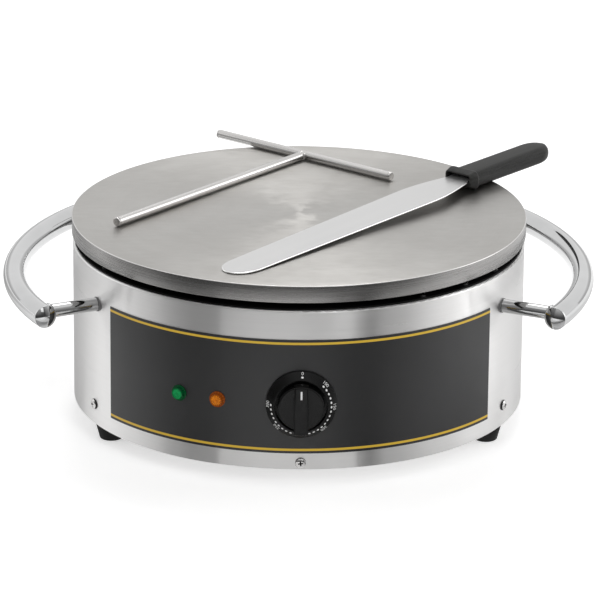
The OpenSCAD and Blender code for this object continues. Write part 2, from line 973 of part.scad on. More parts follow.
module handle_cap() {
  translate([0, 0, -cap_plug])
    cylinder(r = cap_plug_r, h = cap_plug);
  intersection() {
    cylinder(r = handle_tube_r, h = cap_dome);
    translate([0, 0, cap_dome - cap_ball_r])
      sphere(r = cap_ball_r);
  }
}

module handle_caps() {
  color([0.85, 0.85, 0.86])
    for (side = handle_sides)
      for (end = [-1, 1])
        rotate([0, 0, side])
          translate([-handle_shift, 0, handle_z])
            rotate([0, 0, end * handle_half_angle])
              translate([handle_arc_r, 0, 0])
                rotate([-90 * end, 0, 0])
                  handle_cap();
}

module handle_posts() {
  start = post_start + washer_t;
  color([0.85, 0.85, 0.86])
    difference() {
      at_posts()
        translate([0, 0, start])
          cylinder(r = post_r, h = handle_arc_r - start);
      for (side = handle_sides)
        rotate([0, 0, side])
          translate([-handle_shift, 0, handle_z])
            handle_arc(handle_tube_r, handle_half_angle);
      at_posts()
        translate([0, 0, start - 1])
          cylinder(r = post_hole_r, h = post_bore_len + 1);
    }
}

module post_washers() {
  sink = 1.5;
  color([0.12, 0.12, 0.12])
    difference() {
      at_posts()
        translate([0, 0, post_start - sink])
          ring(washer_r, post_hole_r + hole_clear, washer_t + sink);
      cylinder(r = body_r, h = plate_low, $fn = fine);
    }
}

module post_screws() {
  dish_t = 2;                 // thickness of the dished washer behind the drum's wall
  dish_r = 7;
  hex_r = 5.5;
  hex_h = 4;
  head_at = post_start - wall - dish_t;
  color("silver") {
    intersection() {
      at_posts()
        translate([0, 0, head_at])
          cylinder(r = dish_r, h = 2 * dish_t);
      cylinder(r = inner_r, h = plate_low, $fn = fine);
    }
    at_posts()
      translate([0, 0, head_at]) {
        translate([0, 0, -hex_h])
          cylinder(r = hex_r, h = hex_h, $fn = 6);
        cylinder(r = post_screw_r, h = dish_t + wall + washer_t + post_bore_len * 0.9);
      }
  }
}

// ---------- base ----------

vent_r = 72;
vent_len = 34;
vent_w = 5;
vent_step = 15;

module vent_slot(r, length, width) {
  translate([r, -width / 2, body_low - 1])
    cube([length, width, pan_t + 2]);
  for (x = [r, r + length])
    translate([x, 0, body_low - 1])
      cylinder(r = width / 2, h = pan_t + 2);
}

module base_pan() {
  color([0.7, 0.7, 0.69])
    difference() {
      union() {
        translate([0, 0, body_low])
          cylinder(r = base_r, h = pan_t);
        translate([0, 0, body_low])
          ring(base_r, rim_inner_r, rim_h);
      }
      for (a = [0 : vent_step : 360 - vent_step])
        rotate([0, 0, a])
          vent_slot(vent_r, vent_len, vent_w);
      for (a = side_screw_angles)
        on_drum(a, side_screw_z)
          translate([0, 0, rim_inner_r - cut_past])
            cylinder(r = side_screw_r + hole_clear, h = 2 * cut_past);
      for (a = base_screw_angles)
        on_drum(a, base_screw_z)
          translate([0, 0, rim_inner_r - cut_past])
            cylinder(r = side_screw_r + hole_clear, h = 2 * cut_past);
      for (a = side_screw_angles)
        at_foot(a)
          translate([0, 0, body_low - 1])
            cylinder(r = foot_screw_r + hole_clear, h = pan_t + 2);
      translate([earth_pos[0], earth_pos[1], body_low - 1])
        cylinder(r = earth_r + hole_clear, h = pan_t + 2);
    }
}

module wall_screw(angle, z) {
  on_drum(angle, z)
    translate([0, 0, body_r])
      pan_screw(side_screw_r, body_r - rim_inner_r + nut_h + shank_past);
}

module side_screws() {
  color("silver")
    for (a = side_screw_angles)
      wall_screw(a, side_screw_z);
}

module base_screws() {
  color("silver")
    for (a = base_screw_angles)
      wall_screw(a, base_screw_z);
}

module clinch_nut(angle, z) {
  on_drum(angle, z)
    translate([0, 0, rim_inner_r - nut_h - seat_clear])
      hex_nut(clinch_nut_r, nut_h, side_screw_r + thread_clear);
}

module clinch_nuts() {
  color("silver") {
    for (a = side_screw_angles)
      clinch_nut(a, side_screw_z);
    for (a = base_screw_angles)
      clinch_nut(a, base_screw_z);
  }
}

// ---------- feet ----------

foot_screw_r = 2.5;
foot_recess_r = 5.4;
foot_recess = 8;

module at_foot(angle) {
  rotate([0, 0, angle])
    translate([0, -foot_ring_r, 0])
      children();
}

module foot() {
  corner = 2;
  color([0.08, 0.08, 0.08])
    rotate_extrude() {
      difference() {
        polygon([
          [foot_screw_r + hole_clear, 0], [foot_bottom_r - corner, 0],
          [foot_bottom_r, corner], [foot_top_r, foot_h],
          [foot_screw_r + hole_clear, foot_h]
        ]);
        translate([0, -1])
          square([foot_recess_r, foot_recess + 1]);
      }
      translate([foot_bottom_r - corner, corner])
        intersection() {
          circle(r = corner);
          translate([0, -corner])
            square([corner, corner]);
        }
    }
}

module foot_front_right() {
  at_foot(foot_angle)
    foot();
}

module foot_front_left() {
  at_foot(-foot_angle)
    foot();
}

module foot_rear_right() {
  at_foot(180 - foot_angle)
    foot();
}

module foot_rear_left() {
  at_foot(foot_angle - 180)
    foot();
}

module foot_screws() {
  color("silver")
    for (a = side_screw_angles)
      at_foot(a)
        translate([0, 0, foot_recess])
          rotate([180, 0, 0])
            pan_screw(foot_screw_r, foot_h - foot_recess + pan_t + 6);
}

module foot_nuts() {
  color("silver")
    for (a = side_screw_angles)
      at_foot(a)
        translate([0, 0, base_floor])
          hex_nut(foot_screw_r * nut_ratio, nut_h, foot_screw_r + thread_clear);
}

// ---------- cable entry and wiring ----------

module cable_gland() {
  sink = 1;
  color([0.1, 0.1, 0.1])
    difference() {
      union() {
        difference() {
          on_drum(180, gland_z)
            translate([0, 0, body_r - sink])
              cylinder(r = gland_hex_r, h = gland_hex_t + sink, $fn = 6);
          cylinder(r = body_r, h = plate_low, $fn = fine);
        }
        on_drum(180, gland_z)
          translate([0, 0, body_r - gland_in])
            cylinder(r = gland_thread_r, h = gland_in + gland_hex_t / 2);
      }
      on_drum(180, gland_z)
        translate([0, 0, body_r - gland_in - 1])
          cylinder(r = gland_body_bore_r, h = gland_in + gland_hex_t + 2);
    }
}

// Cap that grips the cord
module gland_cap() {
  start = body_r + gland_hex_t;
  color([0.1, 0.1, 0.1])
    on_drum(180, gland_z)
      difference() {
        union() {
          translate([0, 0, start])
            cylinder(r = gland_cap_r, h = gland_cap_len);
          translate([0, 0, start + gland_cap_len])
            cylinder(r1 = gland_cap_r, r2 = gland_nose_r, h = gland_out - gland_hex_t - gland_cap_len);
        }
        translate([0, 0, start - 1])
          cylinder(r = gland_bore_r, h = gland_out + 2);
      }
}

module gland_nut() {
  color([0.1, 0.1, 0.1])
    on_drum(180, gland_z)
      translate([0, 0, inner_r - gland_nut_t - gland_hex_r * gland_hex_r / (2 * inner_r) - seat_clear])
        hex_nut(gland_hex_r, gland_nut_t, gland_thread_r + thread_clear);
}

module terminal_block() {
  ways = 4;
  pitch = block_size[0] / ways;
  well_r = 2.6;
  well_depth = 6;
  color("ivory")
    translate([-block_size[0] / 2, block_y - block_size[1] / 2, base_floor])
      difference() {
        cube(block_size);
        for (i = [0.5 : 1 : ways])
          translate([i * pitch, block_size[1] / 2, block_size[2] - well_depth])
            cylinder(r = well_r, h = well_depth + 1);
      }
}

module earth_stud() {
  color("gold")
    translate([earth_pos[0], earth_pos[1], 0]) {
      translate([0, 0, body_low - earth_nut_h])
        cylinder(r = earth_r * nut_ratio, h = earth_nut_h, $fn = 6);
      translate([0, 0, body_low])
        cylinder(r = earth_r, h = earth_top - body_low);
      translate([0, 0, base_floor])
        cylinder(r = earth_r * nut_ratio, h = earth_nut_h, $fn = 6);
    }
}

block_top = base_floor + block_size[2];
block_front = block_y - block_size[1] / 2;
thermo_back = -(thermo_front - thermo_d);
leg_outer = [
  element_outer_r * cos(leg_angle) - leg_bend_r * sin(leg_angle),
  element_outer_r * sin(leg_angle) + leg_bend_r * cos(leg_angle)
];
leg_inner = [
  element_inner_r * cos(leg_angle) - leg_bend_r * sin(leg_angle),
  element_inner_r * sin(leg_angle) + leg_bend_r * cos(leg_angle)
];
pin_low = leg_low - pin_len;

module supply_wires() {
  start = [-block_size[0] / 2 + short_reach / 2, block_front, base_floor + wire_rise];
  end = [-wire_side, thermo_back, dial_z - wire_rise];
  tab_in = cutout_at + [cutout_pitch, 0, -cutout_h - cutout_tab];
  tab_out = cutout_at - [cutout_pitch, 0, cutout_h + cutout_tab];
  color([0.4, 0.2, 0.1]) {
    wire(curve(start, start - [0, wire_reach, 0], tab_in - [0, 0, wire_reach], tab_in));
    wire(curve(tab_out, tab_out - [0, 0, wire_reach], end + [0, wire_reach, 0], end));
  }
}

module element_wires() {
  a = [wire_side / 2, block_front, base_floor + wire_rise];
  a_end = [leg_inner[0], leg_inner[1], pin_low];
  b = [wire_side, thermo_back, dial_z + wire_rise];
  b_end = [leg_outer[0], leg_outer[1], pin_low];
  color([0.2, 0.3, 0.7]) {
    wire(curve(a, a - [0, wire_reach, 0], a_end - [0, 0, wire_reach], a_end));
    wire(curve(b, b + [0, long_reach, 0], b_end - [0, 0, wire_reach], b_end));
  }
}

module lamp_wires() {
  tail = inner_r - lamp_stem_len - lamp_body_len;
  color([0.6, 0.6, 0.6])
    for (lamp = [[power_lamp_angle, -lamp_wire_rise], [heat_lamp_angle, lamp_wire_rise]]) {
      out = [sin(lamp[0]), -cos(lamp[0]), 0];
      start = tail * out + [0, 0, lamp_z];
      end = [-thermo_w / 2, -(thermo_front - thermo_d / 2), dial_z + lamp[1]];
      wire(curve(start, start - short_reach * out, end - [short_reach, 0, 0], end), lamp_wire_r);
    }
}

module earth_wire() {
  start = [block_size[0] / 2, block_y, base_floor + wire_rise];
  end = [earth_pos[0], earth_pos[1], earth_top];
  color([0.3, 0.6, 0.2])
    wire(curve(start, start + [short_reach, 0, 0], end + [0, 0, short_reach], end));
}

// ---------- spreader ----------

module on_plate(at, turn) {
  translate([at[0], at[1], plate_top + lie_clear])
    rotate([0, 0, turn])
      children();
}

// A rod along +X with chamfered ends, lying on z = 0
module rod(length) {
  translate([0, 0, rod_r])
    rotate([0, 90, 0])
      rotate_extrude()
        polygon([
          [0, 0], [rod_r - rod_chamfer, 0], [rod_r, rod_chamfer],
          [rod_r, length - rod_chamfer], [rod_r - rod_chamfer, length], [0, length]
        ]);
}

module cross_rod() {
  rotate([0, 0, 90])
    translate([-cross_len / 2, 0, 0])
      rod(cross_len);
}

module spreader_cross_rod() {
  color([0.78, 0.77, 0.74])
    on_plate(spreader_joint, spreader_turn)
      cross_rod();
}

module spreader_handle_rod() {
  color([0.78, 0.77, 0.74])
    on_plate(spreader_joint, spreader_turn)
      difference() {
        rod(spreader_len);
        cross_rod();
      }
}

// ---------- spatula ----------

shoulder_len = blade_len - blade_wide_at;

function shoulder(u) = blade_neck_w + (blade_wide_w - blade_neck_w) * cos(90 * u);

// Right-hand half of the blade's outline, from the tip to the tang's end
blade_edge = concat(
  [for (a = [0 : 9 : 90]) [blade_tip_len * (1 - cos(a)), blade_tip_w * sin(a)]],
  [for (u = [0 : 0.125 : 1]) [blade_wide_at + shoulder_len * u, shoulder(u)]],
  [[blade_len + tang_len, blade_neck_w]]
);

module blade_shape(height) {
  count = len(blade_edge);
  mirrored = [for (i = [count - 1 : -1 : 1]) [blade_edge[i][0], -blade_edge[i][1]]];
  rotate([0, -blade_slope, 0])
    linear_extrude(height)
      polygon(concat(blade_edge, mirrored));
}

module spatula_blade() {
  color([0.86, 0.86, 0.86])
    on_plate(spatula_tip, spatula_turn)
      blade_shape(blade_t);
}

// Bar along +X from x = 0 of a rounded rectangle that rests on z = 0
module rounded_bar(length, w, t, r) {
  translate([0, 0, t / 2])
    rotate([90, 0, 90])
      linear_extrude(length)
        round_rect(w, t, r);
}

module spatula_handle() {
  bolster_w = grip_w + 2 * bolster_side;
  bolster_t = grip_t + bolster_rise;
  mouth_low = blade_len * sin(blade_slope);
  color([0.2, 0.2, 0.2])
    on_plate(spatula_tip, spatula_turn)
      difference() {
        translate([blade_len, 0, 0]) {
          intersection() {
            rounded_bar(grip_len, grip_w, grip_t, 6.5);
            union() {
              translate([0, -grip_w / 2, 0])
                cube([grip_len - grip_w / 2, grip_w, grip_t]);
              translate([grip_len - grip_w / 2, 0, 0])
                cylinder(r = grip_w / 2, h = grip_t);
            }
          }
          rounded_bar(bolster_len, bolster_w, bolster_t, 6);
        }
        translate([blade_len - 1, -mouth_w / 2, mouth_low])
          cube([mouth_deep + 1, mouth_w, mouth_h]);
        blade_shape(blade_t);
      }
}

griddle_plate();
plate_studs();
plate_spacers();
stud_nuts();
heating_element();
element_clamp();
clamp_bolt();
element_bushes();
element_pins();
sensor_bulb();
bulb_clip();
capillary_tube();
insulation_pad();
shield_pan();
shield_screws();
safety_cutout();
body_shell();
drum_top_ring();
control_panel();
dial_ring();
thermostat_body();
thermostat_nut();
thermostat_shaft();
knob();
knob_pointer();
power_lens();
heating_lens();
power_lamp_body();
heating_lamp_body();
handle_right();
handle_left();
handle_caps();
handle_posts();
post_washers();
post_screws();
base_pan();
side_screws();
base_screws();
clinch_nuts();
foot_front_left();
foot_front_right();
foot_rear_left();
foot_rear_right();
foot_screws();
foot_nuts();
cable_gland();
gland_cap();
gland_nut();
terminal_block();
earth_stud();
supply_wires();
element_wires();
lamp_wires();
earth_wire();
spreader_cross_rod();
spreader_handle_rod();
spatula_blade();
spatula_handle();
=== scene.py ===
"""Looks of the round electric crepe griddle: finer pieces, materials, floor, light and camera.

Metres, +Z up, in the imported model's frame: the origin is on the counter, on the drum's axis, and
-Y is the front.
"""
import math

import bmesh
import bpy
from mathutils import Matrix, Vector

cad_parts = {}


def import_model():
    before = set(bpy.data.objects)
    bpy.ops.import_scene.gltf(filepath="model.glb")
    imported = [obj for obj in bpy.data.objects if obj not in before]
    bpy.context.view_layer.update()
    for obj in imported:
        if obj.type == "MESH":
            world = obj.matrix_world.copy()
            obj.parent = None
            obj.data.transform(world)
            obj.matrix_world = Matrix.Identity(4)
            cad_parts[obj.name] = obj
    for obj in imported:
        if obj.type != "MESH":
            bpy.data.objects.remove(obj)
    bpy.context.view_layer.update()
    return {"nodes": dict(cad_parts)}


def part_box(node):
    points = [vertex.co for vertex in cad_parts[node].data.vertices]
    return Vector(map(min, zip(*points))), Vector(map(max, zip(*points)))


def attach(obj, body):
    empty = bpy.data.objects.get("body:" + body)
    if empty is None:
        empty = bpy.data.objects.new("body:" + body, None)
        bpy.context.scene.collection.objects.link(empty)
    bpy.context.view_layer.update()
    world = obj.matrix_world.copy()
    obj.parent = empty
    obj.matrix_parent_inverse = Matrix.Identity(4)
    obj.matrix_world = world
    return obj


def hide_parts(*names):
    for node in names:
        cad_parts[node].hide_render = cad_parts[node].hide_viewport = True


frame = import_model()

# ---------- sizes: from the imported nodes, or as in part.scad ----------

def low(node):
    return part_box(node)[0]


def high(node):
    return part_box(node)[1]


# Drum, plate and panel
BODY_R = high("body_shell").x
PLATE_R = high("griddle_plate").x
PLATE_LOW = low("griddle_plate").z
PLATE_TOP = high("griddle_plate").z
PANEL_R = -low("control_panel").y
PANEL_LOW = low("control_panel").z
PANEL_TOP = high("control_panel").z
STRIPE_W = 0.0021
STRIPE_INSET = 0.0022

# Dial and knob. Reaches are from the panel's face, and turns are in degrees.
DIAL_Z = (low("dial_ring").z + high("dial_ring").z) / 2
DIAL_R = high("dial_ring").x
DIAL_EDGE = 0.0018
DIAL_REACH = -low("dial_ring").y - PANEL_R
DIAL_LIP_R = 0.0235
DIAL_INNER_R = 0.0225
DIAL_FLOOR = 0.0015
DIAL_BORE_R = 0.0051
DIAL_TURN = 2.0
DIGIT_SIZE = 0.0042
DIGITS_DOWN = 0.0061
DOTS_DOWN = 0.0028
DOT_R = 0.0009
DOT_STRETCH = 1.2
KNOB_R = high("knob").x
KNOB_BACK = -high("knob").y - PANEL_R
KNOB_DISC = 0.0122
KNOB_TOP = -low("knob").y - PANEL_R
BAR_HALF = 0.0062
BAR_END = high("knob").z - DIAL_Z
POINTER_HALF = high("knob_pointer").x
POINTER_LOW = low("knob_pointer").z - DIAL_Z
POINTER_TOP = high("knob_pointer").z - DIAL_Z

# Pilot lights, at angles round the drum from the front
LAMP_Z = (low("power_lens").z + high("power_lens").z) / 2
POWER_ANGLE = -31.2
HEAT_ANGLE = -20.8
LAMP_FLANGE_R = high("power_lens").z - LAMP_Z
LAMP_FLANGE_BACK = -0.0006
LAMP_FLANGE_T = 0.0014
LENS_R = 0.0055
LENS_FACE_R = 0.0047
LENS_REACH = 0.0044
FACET_ROOM = 0.0005
FACET_PITCH = 0.0011
FACET_WEDGE = 22.5
LAMP_STEM_R = 0.0048
LAMP_STEM_BACK = -0.0077

# Handles: arcs about a centre that lies ARC_SHIFT past the drum's axis
ARC_R = 0.2685
ARC_SHIFT = 0.018
ARC_HALF = 31.8
ARC_Z = (low("handle_right").z + high("handle_right").z) / 2
HANDLE_SIDES = (3.4, 176.6)
TUBE_R = 0.010
TUBE_WALL = 0.0015
CAP_DOME = 0.003
POST_R = 0.006
POST_ANGLE = 29.1
POST_START = 0.2155
POST_BORE_R = 0.003

# Screws: angles round the drum, with heights
SIDE_SCREW_Z = (low("side_screws").z + high("side_screws").z) / 2
SIDE_SCREWS = [(angle, SIDE_SCREW_Z) for angle in (63.6, 116.4, -116.4, -63.6)]
BASE_SCREW_Z = (low("base_screws").z + high("base_screws").z) / 2
BASE_SCREWS = [(angle, BASE_SCREW_Z) for angle in (0.0, 180.0)]
HEAD_R = high("base_screws").x
HEAD_H = 0.0024
SHANK_R = 0.002
SHANK_LEN = 0.0078
RECESS_TURN = 8.0

# Spreader and spatula: where each starts on the plate, and which way it points
LIE_Z = low("spreader_cross_rod").z
ROD_R = (high("spreader_cross_rod").z - LIE_Z) / 2
CROSS_LEN = 0.203
SPREADER_LEN = 0.260
SPREADER_AT = (0.0065, 0.1582)
SPREADER_TURN = 230.2

SPATULA_AT = (-0.0630, -0.1668)
SPATULA_TURN = 49.0
BLADE_SLOPE = 1.45
BLADE_LEN = 0.314
BLADE_T = 0.0012
TIP_LEN = 0.024
TIP_W = 0.0173
WIDE_W = 0.021
WIDE_AT = 0.255
NECK_W = 0.012
TANG_LEN = 0.058
GRIP_LEN = 0.127
GRIP_W = 0.028
GRIP_T = 0.0155
BOLSTER_W = 0.033
BOLSTER_T = 0.017
MOUTH_W = 0.0256
MOUTH_H = 0.006
MOUTH_DEEP = 0.009


# ---------- places ----------

def turn(degrees, axis="Z"):
    return Matrix.Rotation(math.radians(degrees), 4, axis)


def move(x, y, z):
    return Matrix.Translation((x, y, z))


def on_drum(angle, z, radius):
    """x to the right, y up and z outward, at a point of the drum's wall."""
    out = move(0, 0, z) @ turn(90, "X")
    return turn(angle) @ out @ move(0, 0, radius)


def on_arc(side, angle):
    """x outward, from the middle of a handle's arc, at an angle of it."""
    return turn(side) @ move(-ARC_SHIFT, 0, ARC_Z) @ turn(angle)


def on_plate(at, degrees):
    """x along a tool that lies on the plate, from the point where the tool starts."""
    return move(at[0], at[1], LIE_Z) @ turn(degrees)


# ---------- shapes ----------

def new_object(name, data):
    made = bpy.data.objects.new(name, data)
    bpy.context.scene.collection.objects.link(made)
    return made


def finished_mesh(made):
    """Mesh of an object with its modifiers, or of a text."""
    bpy.context.view_layer.update()
    seen = made.evaluated_get(bpy.context.evaluated_depsgraph_get())
    return bpy.data.meshes.new_from_object(seen)


def rounded(corners, steps=5):
    """Points of an open outline of (x, y, radius) corners, each rounded by its radius."""
    points = []
    for i, (x, y, radius) in enumerate(corners):
        here = Vector((x, y))
        if not radius or i in (0, len(corners) - 1):
            points.append(here)
            continue
        before = (Vector(corners[i - 1][:2]) - here).normalized()
        after = (Vector(corners[i + 1][:2]) - here).normalized()
        half = before.angle(after) / 2
        middle = here + (before + after).normalized() * (radius / math.sin(half))
        first = here + before * (radius / math.tan(half)) - middle
        last = here + after * (radius / math.tan(half)) - middle
        sweep = first.angle(last)
        for k in range(steps + 1):
            a = math.sin(sweep * (1 - k / steps)) / math.sin(sweep)
            b = math.sin(sweep * k / steps) / math.sin(sweep)
            points.append(middle + first * a + last * b)
    return [(p[0], p[1]) for p in points]


def circle(radius, sides):
    angles = [2 * math.pi * k / sides for k in range(sides)]
    return [(radius * math.cos(a), radius * math.sin(a)) for a in angles]


def box_ring(width, height, radius, x=0.0, z=0.0, steps=5):
    """Points of a rounded rectangle square to X, centred on y = 0 and z."""
    radius = min(radius, width / 2, height / 2)
    ring = []
    for corner, (sy, sz) in enumerate([(1, 1), (-1, 1), (-1, -1), (1, -1)]):
        middle_y = sy * (width / 2 - radius)
        middle_z = z + sz * (height / 2 - radius)
        for k in range(steps + 1):
            a = math.radians(90 * corner + 90 * k / steps)
            ring.append((x, middle_y + radius * math.cos(a), middle_z + radius * math.sin(a)))
    return ring


class Piece:
    """One object of the scene, made of skins."""

    def __init__(self):
        self.bm = bmesh.new()

    def skin(self, rings, place=Matrix(), loop=False, material=0, capped=True):
        """Faces between rings of points. A ring of one point is a pole."""
        made = [[self.bm.verts.new(place @ Vector(p)) for p in ring] for ring in rings]
        pairs = list(zip(made, made[1:]))
        if loop:
            pairs.append((made[-1], made[0]))
        faces = []
        for low, high in pairs:
            count = max(len(low), len(high))
            for k in range(count):
                n = (k + 1) % count
                if len(low) == 1:
                    corners = [low[0], high[n], high[k]]
                elif len(high) == 1:
                    corners = [low[k], low[n], high[0]]
                else:
                    corners = [low[k], low[n], high[n], high[k]]
                faces.append(self.bm.faces.new(corners))
        if capped and not loop:
            for ring in (made[0], made[-1]):
                if len(ring) > 1:
                    faces.append(self.bm.faces.new(ring))
        bmesh.ops.recalc_face_normals(self.bm, faces=faces)
        for face in faces:
            face.smooth = True
            face.material_index = material
        return faces

    def lathe(self, profile, place=Matrix(), sides=96, **options):
        """Turns a profile of (r, h) points round z."""
        rings = []
        for r, h in profile:
            ring = [(0, 0)] if r < 1e-7 else circle(r, sides)
            rings.append([(x, y, h) for x, y in ring])
        return self.skin(rings, place, **options)

    def object(self, name, materials, sharp=38):
        mesh = bpy.data.meshes.new(name)
        self.bm.to_mesh(mesh)
        self.bm.free()
        mesh.set_sharp_from_angle(angle=math.radians(sharp))
        for material in materials:
            mesh.materials.append(material)
        return new_object(name, mesh)

    def ride(self, name, materials, body, nodes=(), sharp=38):
        """Finishes the piece as an object that rides on a body and stands for CAD nodes."""
        return put(self.object(name, materials, sharp), body, nodes)


def put(made, body, nodes=()):
    """Ties an object to its body, and hides the CAD nodes that it stands for."""
    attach(made, body)
    if nodes:
        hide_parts(*nodes)
    return made


def cut(target, tools):
    """Cuts the tools, which are removed, out of the target's mesh."""
    for tool in tools:
        change = target.modifiers.new("cut", "BOOLEAN")
        change.object = tool
        change.operation = "DIFFERENCE"
        change.solver = "EXACT"
    mesh = finished_mesh(target)
    target.modifiers.clear()
    old = target.data
    name = old.name
    target.data = mesh
    bpy.data.meshes.remove(old)
    mesh.name = name
    for tool in tools:
        bpy.data.objects.remove(tool)
    for face in mesh.polygons:
        face.use_smooth = True
    mesh.set_sharp_from_angle(angle=math.radians(35))


# ---------- material nodes ----------

def grey(value, warm=0.0):
    return (value * (1 + warm), value, value * (1 - warm), 1)


class Nodes:
    """The node tree of a material or a world under construction."""

    def __init__(self, owner):
        owner.use_nodes = True
        self.tree = owner.node_tree
        self.tree.nodes.clear()

    def add(self, kind, inputs=(), **settings):
        node = self.tree.nodes.new(kind)
        for key, value in settings.items():
            setattr(node, key, value)
        for key, value in dict(inputs).items():
            self.feed(node.inputs[key], value)
        return node

    def feed(self, socket, value):
        if isinstance(value, bpy.types.NodeSocket):
            self.tree.links.new(value, socket)
        else:
            socket.default_value = value

    def math(self, operation, *values):
        node = self.add("ShaderNodeMath", operation=operation)
        for socket, value in zip(node.inputs, values):
            self.feed(socket, value)
        return node.outputs[0]

    def here(self):
        return self.add("ShaderNodeTexCoord").outputs["Object"]

    def split(self, vector=None):
        node = self.add("ShaderNodeSeparateXYZ", {"Vector": vector or self.here()})
        return node.outputs

    def rings(self):
        """Place on a turned face: a direction round the axis, and the distance from it."""
        x, y, z = self.split()
        flat = self.add("ShaderNodeCombineXYZ", {"X": x, "Y": y}).outputs[0]
        distance = self.add("ShaderNodeVectorMath", {0: flat}, operation="LENGTH").outputs["Value"]
        towards = self.add("ShaderNodeVectorMath", {0: flat}, operation="NORMALIZE").outputs[0]
        dx, dy, dz = self.split(towards)
        return self.add("ShaderNodeCombineXYZ", {"X": dx, "Y": dy, "Z": distance}).outputs[0]

    def turned(self, degrees):
        """Object coordinates with X along a direction of the plate's plane."""
        inputs = {"Vector": self.here(), "Angle": -math.radians(degrees)}
        return self.add("ShaderNodeVectorRotate", inputs, rotation_type="Z_AXIS").outputs[0]

    def noise(self, vector, stretch, detail=2.0, rough=0.5):
        """Noise from 0 to 1. stretch gives how many features there are to a metre."""
        sizes = stretch if isinstance(stretch, tuple) else (stretch,) * 3
        scaled = self.add("ShaderNodeMapping", {"Vector": vector, "Scale": sizes})
        inputs = {"Vector": scaled.outputs[0], "Scale": 1.0, "Detail": detail, "Roughness": rough}
        return self.add("ShaderNodeTexNoise", inputs).outputs[0]

    def span(self, value, low, high, from_low=0.0, from_high=1.0):
        inputs = {0: value, 1: from_low, 2: from_high, 3: low, 4: high}
        return self.add("ShaderNodeMapRange", inputs).outputs[0]

    def blend(self, factor, first, second, mode="MIX"):
        inputs = {0: factor, 6: first, 7: second}
        node = self.add("ShaderNodeMix", inputs, data_type="RGBA", blend_type=mode)
        return node.outputs[2]

    def sum(self, *parts):
        """Weighted sum of (value, weight) pairs."""
        total = 0.0
        for value, weight in parts:
            total = self.math("MULTIPLY_ADD", value, weight, total)
        return total

    def wavy_ring(self, sway):
        """Direction round the Z axis, which wavers as hand-ground rings do."""
        inputs = {"Vector": self.here(), "Scale": 55.0, "Detail": 2.0}
        wave = self.add("ShaderNodeTexNoise", inputs).outputs["Color"]
        inputs = {0: wave, 1: (0.5, 0.5, 0.5)}
        shift = self.add("ShaderNodeVectorMath", inputs, operation="SUBTRACT").outputs[0]
        inputs = {0: shift, 1: (sway, sway, 0.0), 2: self.here()}
        moved = self.add("ShaderNodeVectorMath", inputs, operation="MULTIPLY_ADD").outputs[0]
        x, y, z = self.split(moved)
        back = self.math("MULTIPLY", y, -1.0)
        return self.add("ShaderNodeCombineXYZ", {"X": back, "Y": x}).outputs[0]


class Paint(Nodes):
    """A material under construction round one Principled shader."""

    def __init__(self, name, **inputs):
        self.material = bpy.data.materials.new(name)
        super().__init__(self.material)
        self.shader = self.add("ShaderNodeBsdfPrincipled")
        self.add("ShaderNodeOutputMaterial", {"Surface": self.shader.outputs[0]})
        self.set(**inputs)

    def set(self, **inputs):
        """Sets the shader's inputs: base_color stands for Base Color, and so on."""
        for key, value in inputs.items():
            name = "Specular IOR Level" if key == "specular" else key.replace("_", " ").title()
            self.feed(self.shader.inputs[name], value)

    def bump(self, height, distance, strength=1.0):
        inputs = {"Height": height, "Distance": distance, "Strength": strength}
        self.set(normal=self.add("ShaderNodeBump", inputs).outputs[0])

    def round_grain(self, amount):
        """Grooves that run round the Z axis: the gloss stretches across them."""
        ring = self.add("ShaderNodeTangent", direction_type="RADIAL", axis="Z")
        self.set(tangent=ring.outputs[0], anisotropic=amount, anisotropic_rotation=0.25)


def brushed(name, dark, light, rough, place, grain, streak, warm=0.01, bump=1e-5):
    """Brushed metal: fine grain, longer streaks and soft clouds in colour and roughness."""
    p = Paint(name, metallic=1.0)
    vector = place(p)
    fine = p.noise(vector, grain, 3.0, 0.6)
    long = p.noise(vector, streak, 2.0)
    clouds = p.noise(p.here(), 11.0, 2.0)
    mix = p.sum((fine, 0.45), (long, 0.35), (clouds, 0.2))
    tone = p.span(mix, 0.0, 1.0, 0.3, 0.7)
    p.set(base_color=p.blend(tone, grey(dark, warm), grey(light, warm)))
    p.set(roughness=p.span(mix, rough * 0.9, rough * 1.1, 0.35, 0.65))
    p.bump(p.sum((fine, 0.6), (long, 0.4)), bump, 0.6)
    return p


def moulded(name, colour, rough, grain=2600.0, bump=1.5e-5, specular=0.5, spread=0.22, scuffs=None):
    """Moulded plastic or rubber: a fine grain and soft clouds, or scuffs along a direction."""
    p = Paint(name, specular=specular)
    fine = p.noise(p.here(), grain, 2.0)
    if scuffs is None:
        soft = p.noise(p.here(), 60.0, 3.0)
    else:
        soft = p.noise(p.turned(scuffs), (22.0, 260.0, 260.0), 4.0, 0.6)
    tone = p.sum((fine, 0.35), (soft, 0.65))
    low = tuple(c * (1 - spread) for c in colour[:3]) + (1,)
    high = tuple(min(1.0, c * (1 + spread)) for c in colour[:3]) + (1,)
    p.set(base_color=p.blend(p.span(tone, 0.0, 1.0, 0.3, 0.7), low, high))
    p.set(roughness=p.span(tone, rough * 0.85, rough * 1.12, 0.35, 0.65))
    p.bump(fine, bump, 0.5)
    return p


# ---------- materials ----------

def drum_steel():
    """Steel brushed round the drum: its gloss is a tall streak."""
    p = brushed("drum_brushed_steel", 0.77, 0.82, 0.3, Paint.here,
                (10.0, 10.0, 1500.0), (4.0, 4.0, 260.0), warm=0.008, bump=5e-6)
    p.round_grain(1.0)
    return p.material


